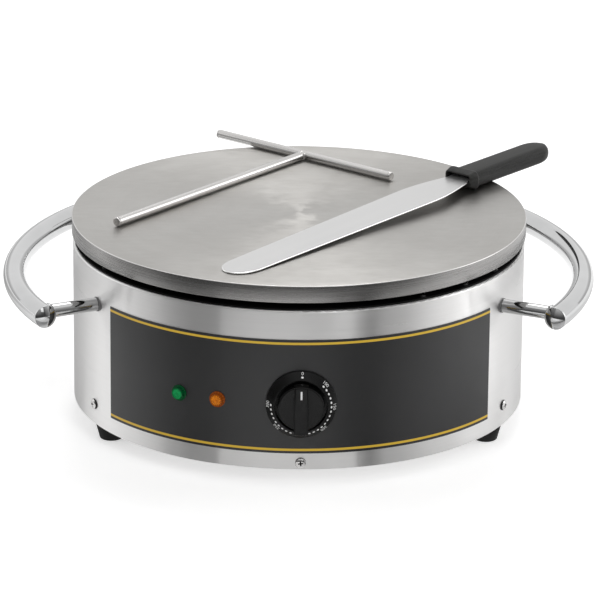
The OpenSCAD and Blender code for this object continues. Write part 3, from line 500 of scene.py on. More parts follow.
def plate_face():
    """Ground face of the cast plate: fine rings, soft mottling and faint marks of use."""
    p = Paint("plate_ground_iron", metallic=1.0)
    fine = p.noise(p.rings(), (7.0, 7.0, 900.0), 3.0, 0.6)
    rings = p.noise(p.rings(), (2.0, 2.0, 120.0), 2.0)
    mottle = p.noise(p.here(), (60.0, 210.0, 1.0), 5.0, 0.68)
    clouds = p.noise(p.here(), 13.0, 3.0, 0.55)
    mix = p.sum((fine, 0.15), (rings, 0.1), (mottle, 0.4), (clouds, 0.35))
    tone = p.span(mix, 0.0, 1.0, 0.36, 0.64)
    p.set(base_color=p.blend(tone, (0.36, 0.348, 0.331, 1), (0.45, 0.441, 0.425, 1)))
    p.set(roughness=p.span(mix, 0.33, 0.44, 0.36, 0.64))
    p.bump(p.sum((fine, 0.5), (rings, 0.2), (mottle, 0.3)), 1.2e-5, 0.6)
    p.set(tangent=p.wavy_ring(0.05), anisotropic=0.65, anisotropic_rotation=0.25)
    return p.material


def plate_side():
    """Turned rim of the cast plate, darker than its face."""
    p = brushed("plate_turned_rim", 0.25, 0.37, 0.27, Paint.here,
                (9.0, 9.0, 1300.0), (14.0, 14.0, 260.0), warm=0.02, bump=2e-5)
    p.round_grain(0.6)
    return p.material


def chrome():
    """Mirror finish with faint smears."""
    p = Paint("polished_chrome", metallic=1.0)
    smears = p.noise(p.here(), (40.0, 40.0, 90.0), 3.0)
    p.set(base_color=p.blend(smears, grey(0.53, -0.004), grey(0.62, -0.004)))
    p.set(roughness=p.span(smears, 0.04, 0.09, 0.4, 0.75))
    return p.material


def rod_steel(name, degrees):
    """Ground rod, with streaks along it."""
    p = brushed(name, 0.44, 0.68, 0.2, lambda q: q.turned(degrees),
                (16.0, 1700.0, 1700.0), (7.0, 420.0, 420.0), warm=0.02, bump=1.2e-5)
    return p.material


def blade_steel():
    """Satin blade: less than fully metallic, so that it stays pale from all sides."""
    p = brushed("blade_satin_steel", 0.575, 0.61, 0.34, lambda q: q.turned(SPATULA_TURN),
                (9.0, 900.0, 60.0), (4.0, 200.0, 30.0), warm=0.004, bump=2e-6)
    p.set(metallic=0.7)
    return p.material


def panel_film():
    """Printed overlay: charcoal with a yellow stripe near its upper and lower edges."""
    p = Paint("panel_printed_film")
    z = p.split()[2]
    half = STRIPE_W / 2
    masks = []
    for middle in (PANEL_LOW + STRIPE_INSET + half, PANEL_TOP - STRIPE_INSET - half):
        away = p.math("ABSOLUTE", p.math("SUBTRACT", z, middle))
        masks.append(p.span(away, 1.0, 0.0, half - 1.2e-4, half + 1.2e-4))
    stripe = p.math("MAXIMUM", *masks)
    grain = p.noise(p.here(), 3200.0, 2.0)
    soft = p.noise(p.here(), 45.0, 3.0)
    tone = p.sum((grain, 0.5), (soft, 0.5))
    film = p.blend(tone, (0.007, 0.007, 0.0077, 1), (0.012, 0.012, 0.0128, 1))
    ink = p.blend(tone, (0.68, 0.42, 0.015, 1), (0.8, 0.52, 0.03, 1))
    p.set(base_color=p.blend(stripe, film, ink))
    p.set(roughness=p.span(tone, 0.36, 0.46, 0.3, 0.7), specular=0.68)
    p.bump(grain, 8e-6, 0.4)
    return p.material


def lens_glow(name, angle, pattern, dark, light):
    """Cut lens of a pilot light, with a little light of its own and the lamp's glow painted into
    its colour.
    """
    p = Paint(name, specular=0.12, coat_weight=0.05)
    spin = p.add("ShaderNodeVectorRotate", {"Vector": p.here(), "Angle": -math.radians(angle)},
                 rotation_type="Z_AXIS")
    along, _, height = p.split(spin.outputs[0])
    up = p.math("SUBTRACT", height, LAMP_Z)
    face = p.add("ShaderNodeCombineXYZ", {"X": along, "Y": up}).outputs[0]
    radius = p.add("ShaderNodeVectorMath", {0: face}, operation="LENGTH").outputs["Value"]
    if pattern == "grid":
        cells = [p.math("PINGPONG", part, FACET_PITCH / 2) for part in (along, up)]
        facet = p.span(p.math("ADD", *cells), 0.0, 1.0, 0.00035, 0.0008)
    else:
        half = math.radians(FACET_WEDGE) / 2
        wedge = p.math("PINGPONG", p.math("ARCTAN2", up, along), half)
        facet = p.span(wedge, 0.0, 1.0, 0.04, half)
    cloud = p.noise(p.here(), 500.0, 2.0)
    # Painted glow: facets and middle paler, rim and flange dark, in base colour and emission.
    lit = p.math("MULTIPLY", p.span(facet, 0.25, 1.0), p.span(cloud, 0.6, 1.0, 0.35, 0.6))
    lit = p.math("MULTIPLY", lit, p.span(radius, 1.0, 0.1, 0.0036, 0.0052))
    colour = p.blend(lit, dark, light)
    p.set(base_color=colour, emission_color=colour, emission_strength=0.2)
    p.set(roughness=p.span(cloud, 0.1, 0.2))
    return p.material


def flecked(name, dark, light, metallic, rough, scale, bump):
    """Any plain stuff that shows two tones at a given scale."""
    p = Paint(name, metallic=metallic)
    cells = p.noise(p.here(), scale, 4.0, 0.65)
    p.set(base_color=p.blend(p.span(cells, 0.0, 1.0, 0.3, 0.7), dark, light))
    p.set(roughness=p.span(cells, rough * 0.85, rough * 1.15, 0.3, 0.7))
    p.bump(cells, bump, 0.6)
    return p.material


DRUM = drum_steel()
PLATE_FACE = plate_face()
PLATE_SIDE = plate_side()
# Pale steel on the plate's rounded top edge: a painted highlight.
PLATE_EDGE_HIGHLIGHT = brushed("plate_edge_painted_highlight", 0.56, 0.72, 0.3, Paint.here,
                     (30.0, 30.0, 900.0), (12.0, 12.0, 12.0), warm=0.015).material
CHROME = chrome()
CROSS_STEEL = rod_steel("spreader_cross_steel", SPREADER_TURN + 90)
HANDLE_STEEL = rod_steel("spreader_handle_steel", SPREADER_TURN)
BLADE = blade_steel()
# Very pale steel on the blade's bevelled edge: a painted highlight.
BLADE_EDGE_HIGHLIGHT = brushed("blade_edge_painted_highlight", 0.84, 0.94, 0.25, lambda p: p.turned(SPATULA_TURN),
                     (60.0, 900.0, 900.0), (20.0, 60.0, 60.0), warm=0.0, bump=2e-6).material
FILM = panel_film()
GREEN = lens_glow("lens_green", POWER_ANGLE, "grid",
                  (0.0, 0.03, 0.008, 1), (0.005, 0.42, 0.11, 1))
ORANGE = lens_glow("lens_orange", HEAT_ANGLE, "wheel",
                   (0.16, 0.03, 0.002, 1), (0.95, 0.3, 0.012, 1))
WHITE = moulded("print_white", (0.86, 0.86, 0.84, 1), 0.5, 1500.0, 4e-6).material
SHEET = brushed("plain_zinc_sheet", 0.42, 0.6, 0.36, Paint.here, 60.0, 18.0).material
BRIGHT = brushed("bright_steel", 0.5, 0.68, 0.2, Paint.here, 900.0, 140.0).material
HEAD = brushed("screw_polished", 0.62, 0.74, 0.1, Paint.here, 900.0, 140.0).material
# Near-black steel for screw recesses and skirts: painted shade and a painted dark reflection.
HEAD_PAINTED_SHADE = flecked("screw_painted_shade", grey(0.01), grey(0.04), 0.6, 0.5, 900.0, 5e-6)
KNOB = moulded("knob_black", grey(0.003), 0.2, specular=0.22).material
DIAL = moulded("dial_black", grey(0.003), 0.3, 2200.0, 2.5e-5, specular=0.2).material
RUBBER = moulded("foot_rubber", grey(0.01), 0.75, 1400.0, 4e-5, specular=0.3).material
WASHER = moulded("washer_rubber", grey(0.15), 0.45).material
NYLON = moulded("gland_nylon", grey(0.022), 0.5).material
GRIP = moulded("grip_black", (0.036, 0.036, 0.035, 1), 0.46, 1100.0, 4e-5, specular=0.1, spread=0.6,
               scuffs=SPATULA_TURN).material
# Near-black, very rough plastic inside the grip's mouth: painted shade.
MOUTH_SHADE = moulded("grip_mouth_painted_shade", grey(0.002), 0.9, 1100.0, 3e-5).material
# Black enamel and rough cast, both made darker still as painted shade for the gap under the plate.
ENAMEL_AND_SHADE = moulded("pan_black_enamel_and_shade", grey(0.004), 0.6, 900.0, 3e-5, specular=0.1).material
CAST_AND_SHADE = flecked("plate_rough_cast_and_shade", (0.012, 0.011, 0.01, 1), (0.03, 0.028, 0.026, 1),
               0.0, 0.8, 500.0, 8e-5)
PHENOLIC = moulded("phenolic_brown", (0.03, 0.018, 0.012, 1), 0.5).material
LAMP_NYLON = moulded("lamp_nylon", (0.66, 0.6, 0.48, 1), 0.5).material
CERAMIC = flecked("ceramic", (0.66, 0.63, 0.56, 1), (0.8, 0.78, 0.72, 1), 0.0, 0.55, 260.0, 1e-5)
WOOL = flecked("insulation_wool", (0.62, 0.6, 0.54, 1), (0.85, 0.84, 0.79, 1),
               0.0, 0.95, 700.0, 4e-4)
BRASS = flecked("brass", (0.58, 0.4, 0.14, 1), (0.75, 0.55, 0.24, 1), 1.0, 0.3, 400.0, 4e-6)
COPPER = flecked("copper", (0.52, 0.24, 0.13, 1), (0.74, 0.38, 0.24, 1), 1.0, 0.32, 300.0, 4e-6)
SHEATH = flecked("element_sheath", (0.05, 0.048, 0.045, 1), (0.14, 0.13, 0.12, 1),
                 0.7, 0.5, 320.0, 1e-5)
WIRES = {
    node: flecked(name, dark, light, 0.0, 0.45, scale, 5e-6)
    for node, name, dark, light, scale in [
        ("supply_wires", "wire_brown", (0.1, 0.035, 0.014, 1), (0.16, 0.06, 0.025, 1), 500.0),
        ("element_wires", "wire_blue", (0.02, 0.06, 0.3, 1), (0.04, 0.11, 0.42, 1), 500.0),
        ("lamp_wires", "wire_grey", grey(0.25), grey(0.4), 500.0),
        ("earth_wire", "wire_green", (0.03, 0.22, 0.03, 1), (0.5, 0.45, 0.03, 1), 160.0)]}

NODE_MATERIALS = {
    "body_shell": DRUM, "drum_top_ring": DRUM, "control_panel": FILM,
    "plate_studs": BRIGHT, "plate_spacers": SHEET, "stud_nuts": BRIGHT, "heating_element": SHEATH,
    "element_clamp": SHEET, "clamp_bolt": BRIGHT, "element_bushes": CERAMIC, "element_pins": BRASS,
    "sensor_bulb": COPPER, "bulb_clip": SHEET, "capillary_tube": COPPER,
    "insulation_pad": WOOL, "shield_pan": ENAMEL_AND_SHADE, "shield_screws": BRIGHT,
    "safety_cutout": PHENOLIC, "thermostat_body": LAMP_NYLON, "thermostat_nut": BRIGHT,
    "thermostat_shaft": BRIGHT, "power_lamp_body": LAMP_NYLON, "heating_lamp_body": LAMP_NYLON,
    "post_washers": WASHER, "post_screws": BRIGHT, "base_pan": SHEET, "clinch_nuts": BRIGHT,
    "foot_front_left": RUBBER, "foot_front_right": RUBBER,
    "foot_rear_left": RUBBER, "foot_rear_right": RUBBER,
    "foot_screws": BRIGHT, "foot_nuts": BRIGHT, "cable_gland": NYLON, "gland_cap": NYLON,
    "gland_nut": NYLON, "terminal_block": CERAMIC, "earth_stud": BRASS, **WIRES,
}


def dress_nodes():
    """Materials and smooth shading for the CAD nodes that stay in the scene."""
    for name, material in NODE_MATERIALS.items():
        node = frame["nodes"][name]
        for slot in node.material_slots:
            slot.material = material
        for face in node.data.polygons:
            face.use_smooth = True
        node.data.set_sharp_from_angle(angle=math.radians(30))


# ---------- griddle plate ----------

def griddle():
    """Plate with a ground face, a rounded edge in paler steel as a painted highlight, a turned rim
    and a rough underside.
    """
    edge = 0.0009
    flat_r = 0.19
    piece = Piece()
    side = rounded([(flat_r, PLATE_LOW, 0), (PLATE_R, PLATE_LOW, edge), (PLATE_R, PLATE_TOP, edge),
                    (flat_r, PLATE_TOP, 0)])
    top = [(r, PLATE_TOP) for r in (0.16, 0.1, 0.04, 0)]
    for face in piece.lathe([(0, PLATE_LOW)] + side + top, sides=288):
        up = face.normal.z
        if up > 0.95:
            face.material_index = 0
        # Rounded edge: the pale material, a painted highlight.
        elif up > 0.35:
            face.material_index = 2
        # Underside: rough cast, near black, partly painted shade.
        elif up < -0.5:
            face.material_index = 3
        else:
            face.material_index = 1
    piece.ride("griddle_plate_dressed", [PLATE_FACE, PLATE_SIDE, PLATE_EDGE_HIGHLIGHT, CAST_AND_SHADE], "cooker",
               ["griddle_plate"], sharp=60)


# ---------- handles ----------

def arc_ring(side, angle, radius, sides=48):
    """Ring of points square to a handle's arc, at an angle of it."""
    place = on_arc(side, angle)
    return [place @ Vector((ARC_R + x, 0, z)) for x, z in circle(radius, sides)]


def handle_tube(name, side, node):
    """Bent tube with a small rounding at each open end."""
    round_off = 0.0004
    per_degree = 1 / math.radians(1) / ARC_R
    ends = rounded([(0, TUBE_R - TUBE_WALL, 0), (0, TUBE_R, round_off), (0.002, TUBE_R, 0)], 3)
    ends = [(along * per_degree, radius) for along, radius in ends]
    steps = 72
    outer = [(-ARC_HALF + along, radius) for along, radius in ends]
    outer += [(-ARC_HALF + 2 * ARC_HALF * k / steps, TUBE_R) for k in range(2, steps - 1)]
    outer += [(ARC_HALF - along, radius) for along, radius in reversed(ends)]
    inner = [(ARC_HALF - 2 * ARC_HALF * k / steps, TUBE_R - TUBE_WALL) for k in range(2, steps - 1)]
    rings = [arc_ring(side, angle, radius) for angle, radius in outer + inner]
    piece = Piece()
    piece.skin(rings, loop=True)
    piece.ride(name, [CHROME], "cooker", [node])


def handle_ends():
    """Domed caps in the tubes' ends, with a fine groove round each."""
    piece = Piece()
    ball = (TUBE_R ** 2 + CAP_DOME ** 2) / (2 * CAP_DOME)
    plug_r = TUBE_R - TUBE_WALL - 0.0001
    dome = []
    for k in range(13):
        r = (TUBE_R - 0.0003) * (1 - k / 12)
        dome.append((r, CAP_DOME - ball + math.sqrt(ball ** 2 - r ** 2)))
    profile = [(0, -0.007), (plug_r, -0.007), (plug_r, 0.0001), (TUBE_R - 0.0005, 0.0001)] + dome
    for side in HANDLE_SIDES:
        for end in (-1, 1):
            place = on_arc(side, end * ARC_HALF) @ move(ARC_R, 0, 0) @ turn(-90 * end, "X")
            piece.lathe(profile, place, 64)
    piece.ride("handle_end_caps", [CHROME], "cooker", ["handle_caps"])


def handle_posts():
    """Posts that point at the middle of the arc, with a weld fillet where they meet the tube."""
    piece = Piece()
    bore_end = POST_START + 0.02
    reach = ARC_R - TUBE_R
    sunk = reach + 0.0035
    profile = rounded([
        (POST_BORE_R, bore_end, 0), (POST_BORE_R, POST_START, 0), (POST_R, POST_START, 0.0006),
        (POST_R, reach - 0.0012, 0.0012), (POST_R + 0.0016, reach + 0.0016, 0.0004),
        (POST_R - 0.001, sunk, 0)])
    profile = [(0, bore_end)] + profile + [(0, sunk)]
    for side in HANDLE_SIDES:
        for angle in (-POST_ANGLE, POST_ANGLE):
            piece.lathe(profile, on_arc(side, angle) @ turn(90, "Y"), 64)
    piece.ride("handle_posts_dressed", [CHROME], "cooker", ["handle_posts"])


# ---------- dial and knob ----------

def dial_ring():
    """Fixed cone round the knob. Its back follows the panel's curve."""
    piece = Piece()
    profile = rounded([
        (DIAL_BORE_R, 0, 0), (DIAL_R, 0, 0), (DIAL_R, DIAL_EDGE, 0.0006),
        (DIAL_LIP_R, DIAL_REACH, 0.0005), (DIAL_INNER_R, DIAL_REACH, 0.0003),
        (DIAL_INNER_R, DIAL_FLOOR, 0.0003), (DIAL_BORE_R, DIAL_FLOOR, 0)])
    piece.lathe(profile, sides=160, loop=True)
    for vert in piece.bm.verts:
        if vert.co.z < 1e-6:
            vert.co.z = math.sqrt(PANEL_R ** 2 - vert.co.x ** 2) - PANEL_R
    piece.bm.transform(on_drum(0, DIAL_Z, PANEL_R))
    piece.ride("dial_ring_dressed", [DIAL], "cooker", ["dial_ring"])


def on_cone(degrees, along, down, lift=6e-5):
    """Point of the dial's cone: degrees clockwise from the top, metres along it and down it."""
    slope = math.atan2(DIAL_REACH - DIAL_EDGE, DIAL_R - DIAL_LIP_R)
    radius = DIAL_LIP_R + down * math.cos(slope) + lift * math.sin(slope)
    angle = math.radians(degrees) + along / radius
    height = DIAL_REACH - down * math.sin(slope) + lift * math.cos(slope)
    return Vector((radius * math.sin(angle), radius * math.cos(angle), height))


def words(text, size):
    """Points and faces of a flat text."""
    curve = bpy.data.curves.new("digits", "FONT")
    curve.body = text
    curve.size = size
    curve.align_x = "CENTER"
    curve.align_y = "CENTER"
    curve.resolution_u = 3
    holder = new_object("digits", curve)
    mesh = finished_mesh(holder)
    points = [tuple(v.co) for v in mesh.vertices]
    faces = [tuple(f.vertices) for f in mesh.polygons]
    bpy.data.objects.remove(holder)
    bpy.data.curves.remove(curve)
    bpy.data.meshes.remove(mesh)
    return points, faces


def dial_marks():
    """Numbers and dots printed on the dial's cone."""
    piece = Piece()
    bm = piece.bm

    def add(points, faces):
        verts = [bm.verts.new(p) for p in points]
        for face in faces:
            made = bm.faces.new([verts[k] for k in face])
            made.normal_update()
            if made.normal.z < 0:
                made.normal_flip()

    numbers = {0: "0", 45: "100", 90: "150", 135: "200", 225: "250", 270: "300"}
    for angle, text in numbers.items():
        points, faces = words(text, DIGIT_SIZE)
        add([on_cone(angle + DIAL_TURN, x, DIGITS_DOWN + y) for x, y, z in points], faces)
    dot = circle(DOT_R, 20)
    for angle in [0, *range(45, 163, 9), *range(198, 271, 9)]:
        points = [on_cone(angle + DIAL_TURN, DOT_STRETCH * x, DOTS_DOWN + y) for x, y in dot]
        add(points, [range(len(dot))])
    bm.transform(on_drum(0, DIAL_Z, PANEL_R))
    piece.ride("dial_marks", [WHITE], "cooker")


def bar_outline(half, radius, height, steps=14):
    """Outline of the knob's bar seen from the front: a strip cut by a circle."""
    reach = math.sqrt(radius ** 2 - half ** 2)
    corner = math.atan2(half, reach)
    points = []
    for sign in (1, -1):
        for k in range(steps + 1):
            a = corner - 2 * corner * k / steps
            points.append((sign * radius * math.sin(a), sign * radius * math.cos(a), height))
    return points


def knob():
    """Disc with a raised bar across it. The bar's face lies just below the pointer's."""
    piece = Piece()
    profile = rounded([(0, KNOB_BACK, 0), (KNOB_R, KNOB_BACK, 0.0005),
                       (KNOB_R - 0.0004, KNOB_DISC, 0.0012), (0, KNOB_DISC, 0)])
    inner = [(KNOB_R - 0.0022, KNOB_DISC), (KNOB_R * 0.6, KNOB_DISC)]
    piece.lathe(profile[:-1] + inner + profile[-1:], sides=144)
    face = KNOB_TOP - 5e-5
    levels = rounded([(0, KNOB_DISC - 0.001, 0), (0.0003, face, 0.0013), (0.003, face, 0)], 6)
    rings = [bar_outline(BAR_HALF - inset, BAR_END - inset, height) for inset, height in levels]
    piece.skin(rings)
    piece.bm.transform(on_drum(0, DIAL_Z, PANEL_R))
    piece.ride("knob_dressed", [KNOB], "control_knob", ["knob"])


def knob_pointer():
    """White line let into the knob's bar."""
    piece = Piece()
    middle = (POINTER_LOW + POINTER_TOP) / 2
    rings = []
    for height, inset in [(KNOB_TOP - 5e-4, 0), (KNOB_TOP - 4e-5, 0), (KNOB_TOP, 1e-4)]:
        wide, tall = 2 * (POINTER_HALF - inset), POINTER_TOP - POINTER_LOW - 2 * inset
        rings.append([(y, z, height) for _, y, z in box_ring(wide, tall, 0.0003, z=middle)])
    piece.skin(rings)
    piece.bm.transform(on_drum(0, DIAL_Z, PANEL_R))
    piece.ride("knob_pointer_line", [WHITE], "control_knob", ["knob_pointer"])


# ---------- pilot lights ----------

def lens_front(x, y, pattern):
    """Height of the cut facets of a lens at a point of its face."""
    if pattern == "grid":
        a = abs((x / FACET_PITCH) % 1 - 0.5) + abs((y / FACET_PITCH) % 1 - 0.5)
        return 0.00035 * (a - 0.5)
    radius = math.hypot(x, y)
    wedge = abs((math.degrees(math.atan2(y, x)) / FACET_WEDGE) % 1 - 0.5)
    rings = abs((radius / 0.0018) % 1 - 0.5)
    return 0.0004 * (wedge + rings - 0.5) * min(1, radius / 0.001)


def pilot_lens(name, angle, material, node, pattern):
    """Lens on a flange and a stem, with a front cut in facets."""
    piece = Piece()
    sides, steps = 72, 24
    base = LENS_REACH - FACET_ROOM
    rim = base + 0.0003
    body = rounded([
        (LAMP_STEM_R, LAMP_STEM_BACK, 0), (LAMP_STEM_R, LAMP_FLANGE_BACK, 0),
        (LAMP_FLANGE_R, LAMP_FLANGE_BACK, 0), (LAMP_FLANGE_R, LAMP_FLANGE_T, 0.0005),
        (LENS_R, LAMP_FLANGE_T, 0.0002), (LENS_R, base, 0.0006), (LENS_FACE_R, rim, 0)])
    piece.lathe([(0, LAMP_STEM_BACK)] + body, sides=sides, capped=False)
    rings = []
    for k in range(steps):
        ring = circle(LENS_FACE_R * (1 - k / steps), sides)
        rings.append([(x, y, base + lens_front(x, y, pattern) if k else rim) for x, y in ring])
    rings.append([(0, 0, base + lens_front(0, 0, pattern))])
    piece.skin(rings, capped=False)
    piece.bm.transform(on_drum(angle, LAMP_Z, PANEL_R))
    bmesh.ops.remove_doubles(piece.bm, verts=piece.bm.verts, dist=1e-6)
    piece.ride(name, [material], "cooker", [node], sharp=18)


# ---------- screws ----------

def recess_tool(degrees):
    """Wedge that cuts one arm of a cross recess."""
    corners = [(1, 1), (-1, 1), (-1, -1), (1, -1)]
    rings = []
    for height, length, width in [(0.3 * HEAD_H, 0.0012, 0.0003), (1.3 * HEAD_H, 0.003, 0.0008)]:
        rings.append([(length * a, width * b, height) for a, b in corners])
    tool = Piece()
    tool.skin(rings, turn(degrees))
    return tool.object("cutter", [])


def screw_head():
    """Domed head on a shank, with a cross recess. The recess has painted shade and the head's skirt
    a painted dark reflection.
    """
    steps = 10
    profile = [(0, -SHANK_LEN), (SHANK_R, -SHANK_LEN), (SHANK_R, 0), (HEAD_R, 0)]
    for k in range(steps):
        a = math.pi / 2 * k / steps
        profile.append((HEAD_R * math.cos(a), HEAD_H * 0.25 + HEAD_H * 0.75 * math.sin(a)))
    piece = Piece()
    piece.lathe(profile + [(0, HEAD_H)], sides=56)
    head = piece.object("head", [HEAD, HEAD_PAINTED_SHADE])
    cut(head, [recess_tool(RECESS_TURN), recess_tool(RECESS_TURN + 90)])
    # Recess and skirt faces take the near-black material: painted shade and painted dark
    # reflection.
    for face in head.data.polygons:
        away = math.hypot(face.center.x, face.center.y)
        rise = face.center.z
        skirt = away > HEAD_R * 0.93 and rise < HEAD_H * 0.6
        recess = away < HEAD_R * 0.7 and 0 < rise < HEAD_H * 0.8
        face.material_index = 1 if skirt or recess else 0
    return head


def screw_heads(name, places, node):
    """One piece for a set of like screws, at (angle, height) places of the drum's wall."""
    joined = Piece()
    for angle, z in places:
        head = screw_head()
        head.data.transform(on_drum(angle, z, BODY_R))
        joined.bm.from_mesh(head.data)
        bpy.data.objects.remove(head)
    joined.ride(name, [HEAD, HEAD_PAINTED_SHADE], "cooker", [node])


# ---------- spreader ----------

def rod_end(end, inwards):
    """Profile of a rod's end: rounded edge, and a turned groove near it."""
    groove = [(0.0014, 0), (0.0017, 0.00035), (0.0021, 0.00035), (0.0024, 0)]
    rim = rounded([(0, end, 0), (ROD_R, end, 0.001), (ROD_R, end + inwards * 0.0012, 0)])
    return rim + [(ROD_R - deep, end + inwards * along) for along, deep in groove]


def spreader():
    """Cross rod, and a handle rod that is welded to its middle."""
    place = on_plate(SPREADER_AT, SPREADER_TURN) @ move(0, 0, ROD_R)
    cross = Piece()
    ends = rod_end(-CROSS_LEN / 2, 1) + rod_end(CROSS_LEN / 2, -1)[::-1]
    cross.lathe(ends, place @ turn(-90, "X"), 48)
    cross.ride("spreader_cross", [CROSS_STEEL], "spreader", ["spreader_cross_rod"])
    stem = Piece()
    weld_r = ROD_R + 0.0009
    profile = rounded([(0, 0.001, 0), (weld_r, 0.001, 0), (weld_r, 0.0045, 0.0008),
                       (ROD_R, 0.0062, 0.0008), (ROD_R, 0.02, 0)])
    stem.lathe(profile + rod_end(SPREADER_LEN, -1)[::-1], place @ turn(90, "Y"), 48)
    stem.ride("spreader_stem", [HANDLE_STEEL], "spreader", ["spreader_handle_rod"])


# ---------- spatula ----------

def blade_side():
    """Right-hand half of the blade's outline, from the tip to the tang's end."""
    tip = []
    for k in range(19):
        a = math.pi / 36 * k
        tip.append((TIP_LEN * (1 - math.cos(a)), TIP_W * math.sin(a)))
    shoulder = []
    for k in range(17):
        u = k / 16
        half = NECK_W + (WIDE_W - NECK_W) * math.cos(math.pi / 2 * u)
        shoulder.append((WIDE_AT + (BLADE_LEN - WIDE_AT) * u, half))
    return tip + shoulder + [(BLADE_LEN + TANG_LEN, NECK_W)]


def spatula_blade():
    """Flat blade with its ground edge painted pale as a highlight, which slopes up into the grip's
    mouth.
    """
    piece = Piece()
    side = blade_side()
    outline = side + [(x, -y) for x, y in reversed(side[1:])]
    bm = piece.bm
    bottom = bm.faces.new([bm.verts.new((x, y, 0)) for x, y in outline])
    made = bmesh.ops.extrude_face_region(bm, geom=[bottom])
    for item in made["geom"]:
        if isinstance(item, bmesh.types.BMVert):
            item.co.z += BLADE_T
    bmesh.ops.recalc_face_normals(bm, faces=bm.faces)
    rim = [e for e in bm.edges if abs(e.verts[0].co.z - e.verts[1].co.z) < 1e-9]
    bmesh.ops.bevel(bm, geom=rim, offset=0.0005, segments=2, profile=0.5, affect="EDGES")
    bm.normal_update()
    # Bevel faces take the pale edge material, a painted highlight.
    for face in bm.faces:
        face.smooth = True
        face.material_index = 0 if abs(face.normal.z) > 0.98 else 1
    bm.transform(on_plate(SPATULA_AT, SPATULA_TURN) @ turn(-BLADE_SLOPE, "Y"))
    piece.ride("spatula_blade_dressed", [BLADE, BLADE_EDGE_HIGHLIGHT], "spatula",
               ["spatula_blade"], sharp=20)


def spatula_grip():
    """Moulded grip: a chamfered collar round the mouth, then a bar that ends in a round."""
    piece = Piece()
    # Each station: how far along, width, underside, top and corner radius
    stations = [
        (0.0, 0.0284, 0.0046, 0.0150, 0.003), (0.0006, 0.0291, 0.0040, 0.0154, 0.0034),
        (0.0076, BOLSTER_W, 0.0004, BOLSTER_T, 0.0045), (0.0090, BOLSTER_W, 0.0, BOLSTER_T, 0.005),
        (0.0099, 0.0320, 0.0002, 0.0166, 0.0055), (0.0106, 0.0288, 0.0004, 0.0158, 0.006),
        (0.0118, GRIP_W, 0.0, GRIP_T, 0.0065), (0.0140, GRIP_W, 0.0, GRIP_T, 0.0065)]
    stations += [(x, GRIP_W, 0.0, GRIP_T, 0.0068) for x in (0.03, 0.05, 0.07, 0.09, 0.1)]
    for k in range(15):
        a = math.pi / 2 * k / 14
        x = GRIP_LEN - GRIP_W * 0.75 + GRIP_W * 0.75 * math.sin(a)
        drop = 0.0035 * (1 - math.cos(a)) ** 1.5
        stations.append((x, max(GRIP_W * math.cos(a), 0.003), drop * 0.6, GRIP_T - drop, 0.0068))
    rings = [box_ring(width, top - base, radius, x, (base + top) / 2, 6)
             for x, width, base, top, radius in stations]
    piece.skin(rings)
    grip = piece.object("spatula_grip", [GRIP, MOUTH_SHADE], 40)
    middle = BLADE_LEN * math.sin(math.radians(BLADE_SLOPE)) + MOUTH_H / 2
    mouth = Piece()
    mouth.skin([box_ring(MOUTH_W, MOUTH_H, 0.0014, x, middle) for x in (-0.002, MOUTH_DEEP)])
    cut(grip, [mouth.object("cutter", [])])
    # Faces inside the mouth take the near-black material: painted shade.
    slack = 1e-5
    for face in grip.data.polygons:
        x, y, z = face.center
        within = abs(y) <= MOUTH_W / 2 + slack and abs(z - middle) <= MOUTH_H / 2 + slack
        face.material_index = 1 if 3e-4 < x < MOUTH_DEEP + slack and within else 0
    grip.data.transform(on_plate(SPATULA_AT, SPATULA_TURN) @ move(BLADE_LEN, 0, 0))
    put(grip, "spatula", ["spatula_handle"])


# ---------- stage ----------

def shown_rays(nodes):
    """1 for what the camera sees, straight, mirrored or through glass, and 0 for light."""
    path = nodes.add("ShaderNodeLightPath").outputs
    shown = nodes.math("MAXIMUM", path["Is Camera Ray"], path["Is Glossy Ray"])
    return nodes.math("MAXIMUM", shown, path["Is Transmission Ray"])


def staged(name, points, faces, material):
    mesh = bpy.data.meshes.new(name)
    mesh.from_pydata(points, [], faces)
    mesh.materials.append(material)
    made = new_object(name, mesh)
    return made


def floor():
    """Pale floor that shows white to the camera and keeps the object's shadow."""
    far = 14.0
    p = Paint("floor_white", base_color=grey(0.84), roughness=0.9)
    p.set(emission_color=grey(1.0), emission_strength=p.math("MULTIPLY", shown_rays(p), 0.5))
    corners = [(-far, -far, 0), (far, -far, 0), (far, far, 0), (-far, far, 0)]
    staged("floor", corners, [(0, 1, 2, 3)], p.material)


# Legs of a cloth: how far out and how high, and the shares of a stop's near and far shade
FRONT_LEGS = [
    (0.004, 0.001, 1, 0), (0.12, 0.001, 1, 0), (0.3, 0.001, 1, 0), (0.41, 0.001, 1, 0),
    (0.49, 0.001, 1, 1), (1.7, 0.001, 1, 1), (1.7, 2.4, 1, 0)]
SIDE_LEGS = [
    (0.004, 0.001, 1, 0), (0.42, 0.001, 1, 0), (0.55, 0.001, 0.5, 1), (1.1, 0.001, 0, 1),
    (1.7, 0.001, 0, 0)]
FOOT_LEGS = [(0.004, 0.002, 1, 0), (0.1, 0.002, 1, 0), (0.25, 0.002, 0, 0)]

